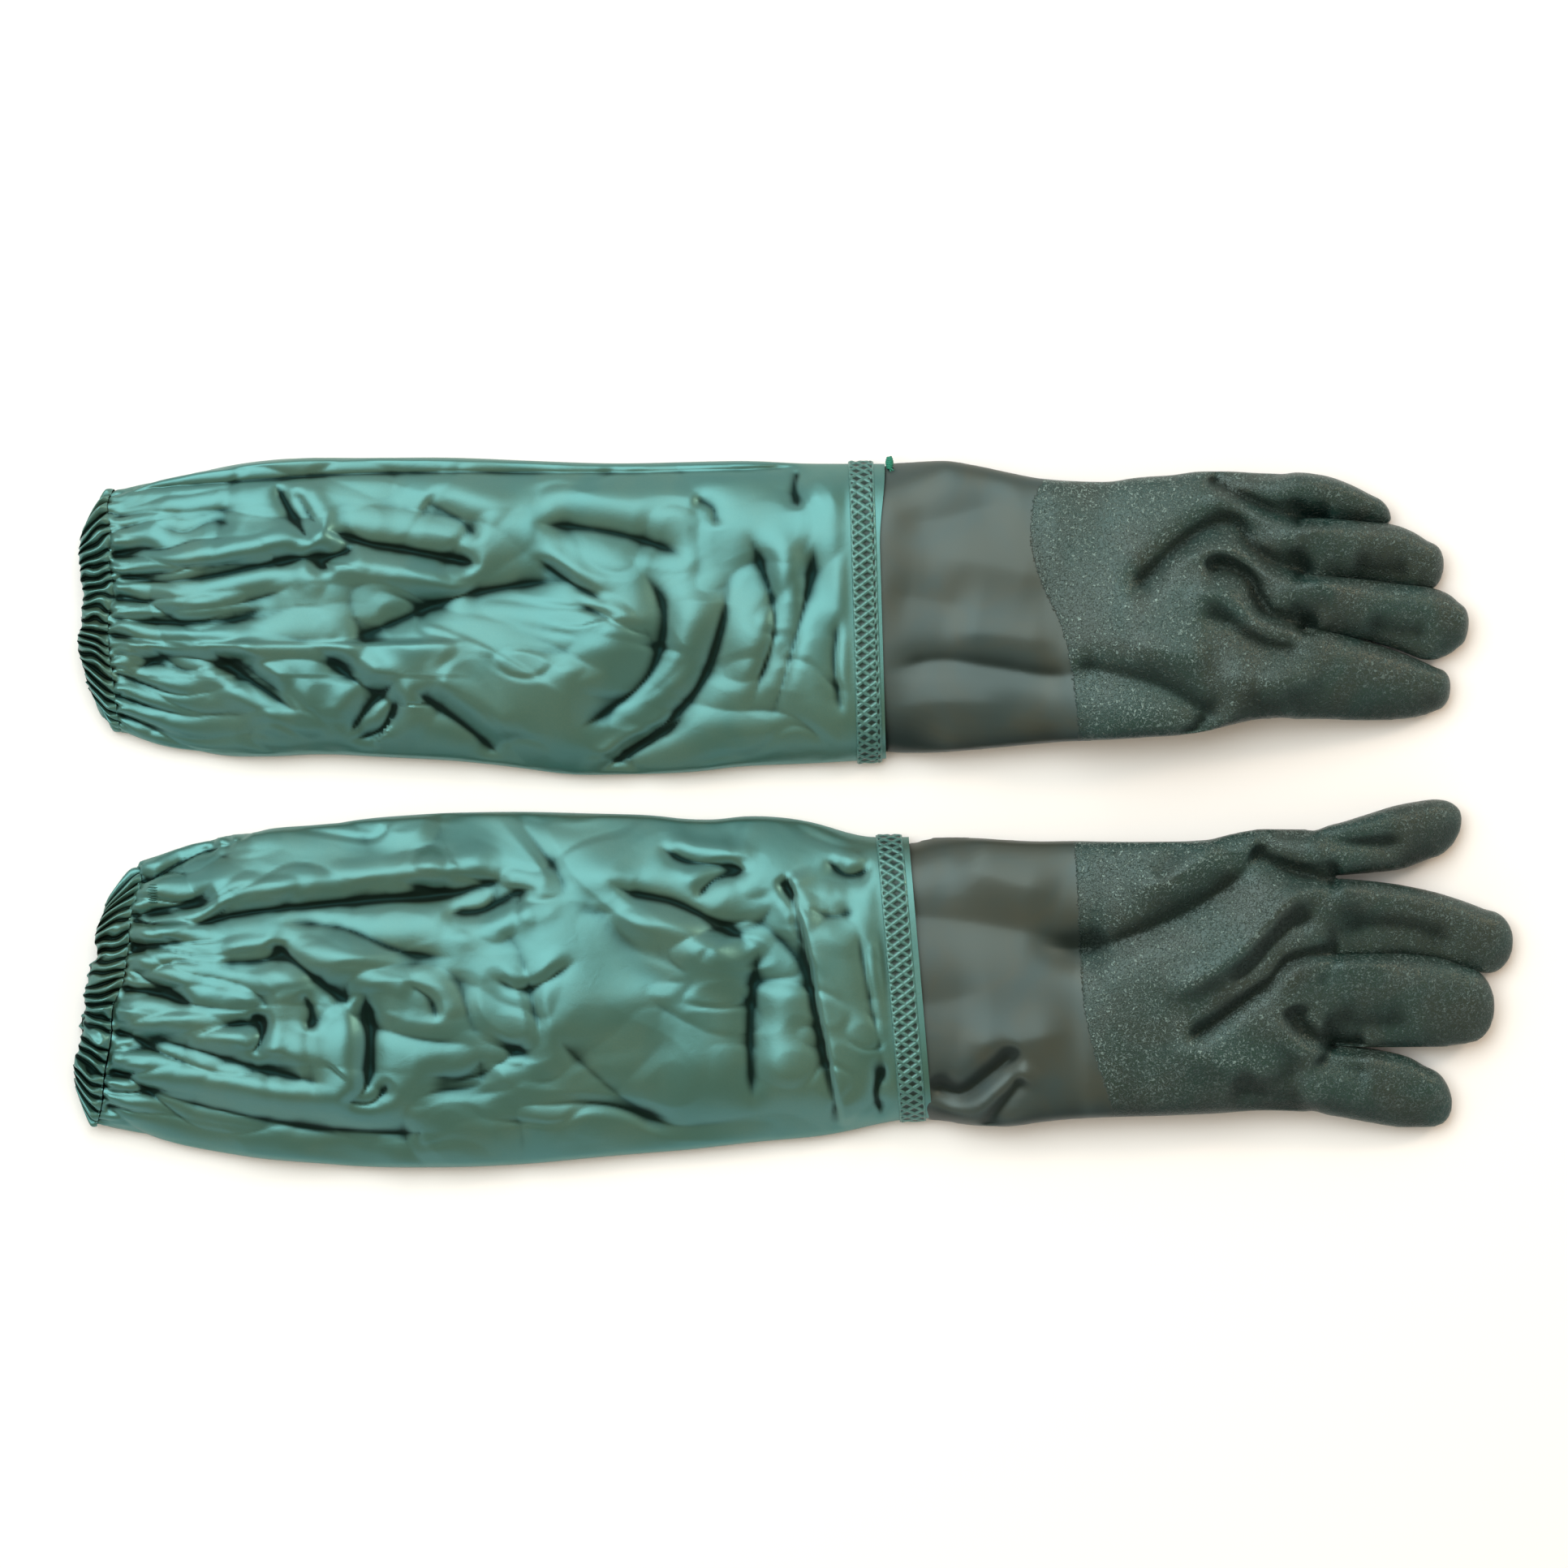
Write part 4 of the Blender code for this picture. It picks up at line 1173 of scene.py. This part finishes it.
class Shader:
    """A material's node tree with short names for what is used here."""

    def __init__(self, name):
        self.material = bpy.data.materials.new(name)
        self.material.use_nodes = True
        self.tree = self.material.node_tree
        self.surface = self.tree.nodes["Principled BSDF"]
        self.place = self.node("ShaderNodeTexCoord").outputs["Object"]

    def node(self, kind, **settings):
        made = self.tree.nodes.new(kind)
        for key, value in settings.items():
            setattr(made, key, value)
        return made

    def link(self, source, target):
        self.tree.links.new(source, target)

    def noise(self, scale, detail=2.0, distortion=0.0, kind="FBM", roughness=0.5):
        made = self.node("ShaderNodeTexNoise", noise_type=kind)
        self.link(self.place, made.inputs["Vector"])
        made.inputs["Scale"].default_value = scale
        made.inputs["Detail"].default_value = detail
        made.inputs["Distortion"].default_value = distortion
        made.inputs["Roughness"].default_value = roughness
        return made.outputs["Fac"]

    def attribute(self, name):
        return self.node("ShaderNodeAttribute", attribute_name=name).outputs["Fac"]

    def times(self, a, b):
        return self.math("MULTIPLY", a, b)

    def math(self, operation, a, b=0.0, c=0.0):
        made = self.node("ShaderNodeMath", operation=operation)
        for socket, value in zip(made.inputs, (a, b, c)):
            if isinstance(value, (int, float)):
                socket.default_value = value
            else:
                self.link(value, socket)
        return made.outputs[0]

    def ramp(self, value, low, high, start=0.0, end=1.0):
        made = self.node("ShaderNodeMapRange", interpolation_type="SMOOTHSTEP")
        self.link(value, made.inputs["Value"])
        for key, number in (("From Min", low), ("From Max", high), ("To Min", start), ("To Max", end)):
            made.inputs[key].default_value = number
        return made.outputs["Result"]

    def mix(self, share, a, b):
        made = self.node("ShaderNodeMix", data_type="RGBA")
        if isinstance(share, float):
            made.inputs["Factor"].default_value = share
        else:
            self.link(share, made.inputs["Factor"])
        for socket, value in ((made.inputs[6], a), (made.inputs[7], b)):
            if isinstance(value, tuple):
                socket.default_value = (*value, 1)
            else:
                self.link(value, socket)
        return made.outputs[2]

    def bumped(self, height, distance_mm, strength=1.0, under=None):
        made = self.node("ShaderNodeBump")
        made.inputs["Strength"].default_value = strength
        made.inputs["Distance"].default_value = distance_mm * MM
        self.link(height, made.inputs["Height"])
        if under is not None:
            self.link(under, made.inputs["Normal"])
        return made.outputs["Normal"]

    def set(self, **values):
        """Sets the surface's sockets; a socket's output is linked and a plain value is set."""
        for key, value in values.items():
            socket = self.surface.inputs[key.replace("_", " ")]
            if isinstance(value, bpy.types.NodeSocket):
                self.link(value, socket)
            elif isinstance(value, tuple):
                socket.default_value = (*value, 1)
            else:
                socket.default_value = value


def satin():
    """Coated satin: an olive green cloth under a strong blue-green gloss, with a fine weave, and painted
    shade in its creases.
    """
    m = Shader("satin_sleeve")
    tint = (0.335, 0.86, 0.86)
    patches = m.noise(28, 3, 0.4)
    grain = m.noise(1500, 2)
    base = m.mix(m.ramp(patches, 0.35, 0.68), (0.024, 0.050, 0.034), (0.042, 0.058, 0.030))
    base = m.mix(m.ramp(grain, 0.3, 0.75, 0.0, 0.4), base, (0.016, 0.034, 0.024))
    # painted shade: where the hollow mask is high, the cloth's colour and its blue-green gloss go nearly
    # black, in creases and pleat gaps
    crease_shade = m.ramp(m.attribute("hollow_shade"), 0.05, 1.9)
    base = m.mix(m.times(crease_shade, 0.9), base, (0.002, 0.006, 0.005))
    shaded_gloss = m.mix(crease_shade, tint, (0.01, 0.04, 0.04))
    fine = m.bumped(grain, 0.05, 0.35)
    creased = m.bumped(m.noise(150, 4, 1.2), 0.4, 0.14, under=fine)
    m.set(Base_Color=base, Roughness=m.ramp(patches, 0.2, 0.8, 0.36, 0.42), Normal=creased)
    m.set(IOR=2.6, Specular_Tint=tint)
    m.link(shaded_gloss, m.surface.inputs["Specular Tint"])
    return m.material


def pvc():
    """The dipped PVC: smooth and dull on the cuff, crinkled inside the coat's edge."""
    m = Shader("dipped_pvc")
    tint = (0.80, 1.0, 0.97)
    reach = m.attribute("coat")
    ragged = m.math("ADD", reach, m.times(m.math("SUBTRACT", m.noise(900, 3), 0.5), 4.0))
    coated = m.ramp(ragged, -0.35, 0.35)
    worn = m.noise(30, 3, 0.6)
    worms = m.math("ABSOLUTE", m.math("SUBTRACT", m.noise(560, 1.2, 0.8), 0.5))
    worms = m.ramp(worms, 0.0, 0.07, 1.0, 0.0)
    pebble = m.noise(1300, 2.0, 0.4)
    smooth_color = m.mix(m.ramp(worn, 0.3, 0.7), (0.020, 0.036, 0.036), (0.034, 0.037, 0.026))
    rough_color = m.mix(m.ramp(worn, 0.3, 0.7), (0.006, 0.030, 0.025), (0.015, 0.024, 0.018))
    relief_and_light = m.attribute("relief_and_light")
    # painted highlights: light flecks on the crinkle where the skin stands proud or faces the soft light,
    # fewer far inside the coat
    raised = m.times(m.ramp(relief_and_light, -0.6, 0.9, 0.1, 1.0), m.ramp(reach, 25, 120, 1.0, 0.45))
    glint_flecks = m.times(m.times(worms, m.ramp(pebble, 0.36, 0.56)), raised)
    rough_color = m.mix(glint_flecks, rough_color, (0.20, 0.29, 0.27))
    color = m.mix(coated, smooth_color, rough_color)
    # painted shade: the colour darkens and the gloss dims where the skin lies in a crease or faces away from
    # the soft light
    low = m.ramp(relief_and_light, -0.9, 0.35, 1.0, 0.0)
    color = m.mix(m.times(low, 0.8), color, (0.003, 0.008, 0.007))
    shaded_gloss = m.mix(low, tint, (0.30, 0.36, 0.33))
    height = m.times(m.math("ADD", m.times(worms, 0.8), m.times(pebble, 0.6)), coated)
    height = m.math("ADD", height, m.times(coated, 0.5))
    lined = m.bumped(m.noise(700, 4), 0.03, 0.5)
    m.set(
        Base_Color=color,
        Roughness=m.ramp(coated, 0.0, 1.0, 0.42, 0.34),
        Normal=m.bumped(height, 0.45, 1.0, under=lined),
    )
    m.set(Specular_IOR_Level=0.7, Specular_Tint=tint)
    m.link(shaded_gloss, m.surface.inputs["Specular Tint"])
    return m.material


def plain_look(name, low, high, scale, roughness, bump_mm, metallic=0.0, pit_shade=0.0):
    """A two-tone grained material for the small parts, with painted shade of strength pit_shade in an
    emboss's pits.
    """
    m = Shader(name)
    grain = m.noise(scale, 3)
    color = m.mix(m.ramp(grain, 0.3, 0.7), low, high)
    if pit_shade:
        # painted shade in the emboss's pits
        pits = m.ramp(m.attribute("hollow_shade"), 0.35, 0.95, 0.0, pit_shade)
        color = m.mix(pits, color, (0.004, 0.014, 0.011))
    m.set(Base_Color=color, Metallic=metallic)
    m.set(Roughness=m.ramp(grain, 0.2, 0.8, roughness - 0.06, roughness + 0.06))
    m.set(Normal=m.bumped(grain, bump_mm, 0.7))
    return m.material


def knit():
    """Cotton stockinette: fine ribs crossed by rows."""
    m = Shader("cotton_liner")
    ribs = m.node("ShaderNodeTexWave", wave_type="BANDS", bands_direction="Y")
    rows = m.node("ShaderNodeTexWave", wave_type="BANDS", bands_direction="X")
    for wave, scale in ((ribs, 330), (rows, 420)):
        m.link(m.place, wave.inputs["Vector"])
        wave.inputs["Scale"].default_value = scale
        wave.inputs["Distortion"].default_value = 1.0
    loops = m.times(ribs.outputs["Fac"], rows.outputs["Fac"])
    m.set(Base_Color=m.mix(loops, (0.42, 0.40, 0.35), (0.66, 0.64, 0.58)), Roughness=0.9)
    m.set(Normal=m.bumped(loops, 0.3, 0.8))
    return m.material


# ------------------------------------------------------------------ putting it together

def make_glove(side, looks):
    """Every piece of one glove, with what each replaces; the small parts, the cuff and the thumb also ride on
    their bodies.
    """
    glove = GLOVES[side]
    forearm, upper, hand = f"{side}_forearm", f"{side}_upper_sleeve", f"{side}_hand"

    def across_fold(piece):
        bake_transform(piece)

    grid = sleeve_grid(glove)
    rows, cols = grid.shape[:2]
    sleeve = make_object(f"{side}_sleeve", grid.reshape(-1, 3), tube_faces(rows, cols), looks["satin"])
    # the mask for the satin's painted shade: how far the sleeve lies below the cloth round it, over narrow
    # creases and broader hollows
    mark(sleeve, "hollow_shade", 1.1 * hollows(grid, 7) + 0.8 * hollows(grid, 60))
    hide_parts(f"{side}_sleeve_upper", f"{side}_sleeve_lower")
    across_fold(sleeve)

    tape = make_seam_tape(side, grid, -glove["outward"], looks["tape"])
    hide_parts(f"{side}_seam_tape_upper", f"{side}_seam_tape_lower")
    across_fold(tape)

    hem = make_hem(glove, side, looks["satin"])
    small = (
        (hem, "hem_casing", "sleeve_fabric", upper),
        (make_elastic(glove, side, looks["elastic"]), "hem_elastic", "elastic_web", upper),
        (make_stitches(glove, side, grid, looks["thread"]), "hem_stitch", "green_thread", upper),
        (make_band(glove, side, looks["tape"]), "weld_band", "weld_tape", forearm),
    )
    for piece, node, slot, body in small:
        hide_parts(f"{side}_{node}")
        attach(piece, body)

    for suffix, voxel, inset, look in (("skin", 1.25, 0.0, "pvc"), ("knit", 2.4, 1.9, "knit")):
        pieces = make_hand(glove, side, suffix, voxel, inset, looks[look])
        ending = "" if suffix == "skin" else "_liner"
        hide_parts(f"{side}_cuff{ending}")
        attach(pieces["cuff"], forearm)
        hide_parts(f"{side}_palm{ending}")
        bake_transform(pieces["palm"])
        for name in FINGERS:
            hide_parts(f"{side}_{name}_finger{ending}")
            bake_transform(pieces[name])
        thumb = make_thumb(side, suffix, inset, looks[look])
        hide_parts(f"{side}_thumb{ending}")
        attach(thumb, f"{side}_thumb_body")


def make_knot(material):
    """The tied end of the sleeve's seam thread, at the little finger's side of the left cuff."""
    centre = np.array([44.2, 158.9, 11.0])
    t = np.linspace(0, 2 * math.pi * 6, 140)
    swell = 0.55 + 0.5 * np.sin(math.pi * t / t[-1])
    wrap = np.stack([swell * np.cos(t), 2.1 * (t / t[-1] - 0.5) * 2, swell * np.sin(t)], axis=1)
    tail = np.array([[0.3, -1.6, 0.4], [0.9, -2.4, 0.9], [1.7, -2.9, 0.8]])
    parts = []
    for line in (wrap, rounded(tail, 8), rounded(tail * (0.4, 1.2, 1), 8)):
        parts.append(rope(centre + 1.25 * line, 0.62 if line is wrap else 0.35))
    knot = make_object("left_knot", *join_parts(parts), material)
    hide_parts("left_seam_knot")
    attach(knot, "left_forearm")


def rope(line, radius, sides=8):
    """A tube along a line of points."""
    forward = np.gradient(line, axis=0)
    forward /= np.linalg.norm(forward, axis=1)[:, None]
    across = np.cross(forward, (0.2, 0.3, 1.0))
    across /= np.linalg.norm(across, axis=1)[:, None]
    other = np.cross(forward, across)
    angle = np.arange(sides) * 2 * math.pi / sides
    ends = np.minimum(1, 0.3 + np.minimum(np.arange(len(line)), np.arange(len(line))[::-1]))
    ring = np.cos(angle)[None, :, None] * across[:, None] + np.sin(angle)[None, :, None] * other[:, None]
    points = line[:, None] + radius * ends[:, None, None] * ring
    return points.reshape(-1, 3), tube_faces(len(line), sides)


# ------------------------------------------------------------------ floor, lights and camera

# All in metres
FLOOR_REACH = 12.0  # from the middle to each edge
CAMERA_HEIGHT = 3.0
SEEN_WIDTH = 0.715  # the width of floor that the camera takes in
SKY = (  # height on the sky, colour
    (0.30, (0.94, 0.98, 1.0)),
    (0.50, (0.68, 0.62, 0.52)),
    (0.68, (0.52, 0.40, 0.26)),
)


def area_light(name, place, aim, size, power, color):
    """A rectangular light of that size that faces aim and isn't itself seen."""
    data = bpy.data.lights.new(name, "AREA")
    data.shape, data.size, data.size_y = "RECTANGLE", *size
    data.energy, data.color = power, color
    light = bpy.data.objects.new(name, data)
    light.location = place
    light.rotation_euler = (Vector(aim) - Vector(place)).to_track_quat("-Z", "Y").to_euler()
    light.visible_camera = False
    bpy.context.scene.collection.objects.link(light)


def make_surroundings():
    """A pale floor under a soft studio sky, a soft box, a warm lamp and a camera straight above."""
    mesh = bpy.data.meshes.new("floor")
    corners = [(x * FLOOR_REACH, y * FLOOR_REACH, 0) for x, y in ((-1, -1), (1, -1), (1, 1), (-1, 1))]
    mesh.from_pydata(corners, [], [(0, 1, 2, 3)])
    floor = bpy.data.objects.new("floor", mesh)
    bpy.context.scene.collection.objects.link(floor)
    m = Shader("pale_floor")
    m.set(Base_Color=(0.92, 0.91, 0.90), Roughness=0.9)
    mesh.materials.append(m.material)

    world = bpy.data.worlds.new("studio")
    world.use_nodes = True
    bpy.context.scene.world = world
    tree = world.node_tree
    place = tree.nodes.new("ShaderNodeTexCoord")
    split = tree.nodes.new("ShaderNodeSeparateXYZ")
    ramp = tree.nodes.new("ShaderNodeValToRGB")
    tree.links.new(place.outputs["Generated"], split.inputs[0])
    tree.links.new(split.outputs["Z"], ramp.inputs[0])
    tree.links.new(ramp.outputs[0], tree.nodes["Background"].inputs["Color"])
    stops = ramp.color_ramp.elements
    stops[0].position, stops[0].color = 0.0, (0.80, 0.82, 0.84, 1)
    stops[1].position, stops[1].color = 1.0, (0.47, 0.35, 0.22, 1)
    for up, color in SKY:
        stops.new(up).color = (*color, 1)
    tree.nodes["Background"].inputs["Strength"].default_value = 1.0

    area_light("softbox", (-0.62, 0.86, 2.0), (0, 0, 0), (2.5, 2.1), 58, (0.88, 0.97, 1.0))
    area_light("lamp", (1.7, 1.0, 1.1), (0.1, 0, 0), (0.35, 0.35), 11, (1.0, 0.72, 0.52))

    data = bpy.data.cameras.new("camera")
    camera = bpy.data.objects.new("camera", data)
    data.sensor_width = 36.0
    data.lens = data.sensor_width * CAMERA_HEIGHT / SEEN_WIDTH
    data.clip_end = 50
    camera.location = (-0.0037, 0.013, CAMERA_HEIGHT)
    bpy.context.scene.collection.objects.link(camera)
    bpy.context.scene.camera = camera
    bpy.context.scene.view_settings.view_transform = "Standard"


def main():
    tape_dark, tape_light = (0.054, 0.150, 0.134), (0.090, 0.222, 0.200)
    looks = {
        "satin": satin(),
        "pvc": pvc(),
        "knit": knit(),
        "tape": plain_look("weld_tape_look", tape_dark, tape_light, 600, 0.34, 0.06, 0.45, 0.9),
        "elastic": plain_look("elastic_look", (0.60, 0.59, 0.56), (0.80, 0.79, 0.75), 900, 0.8, 0.2),
        "knot": plain_look("knot_look", (0.002, 0.11, 0.070), (0.010, 0.27, 0.17), 2500, 0.5, 0.1),
        "thread": plain_look("thread_look", (0.010, 0.060, 0.050), (0.020, 0.110, 0.085), 2500, 0.6, 0.1),
    }
    make_surroundings()
    for side in GLOVES:
        make_glove(side, looks)
    make_knot(looks["knot"])


main()
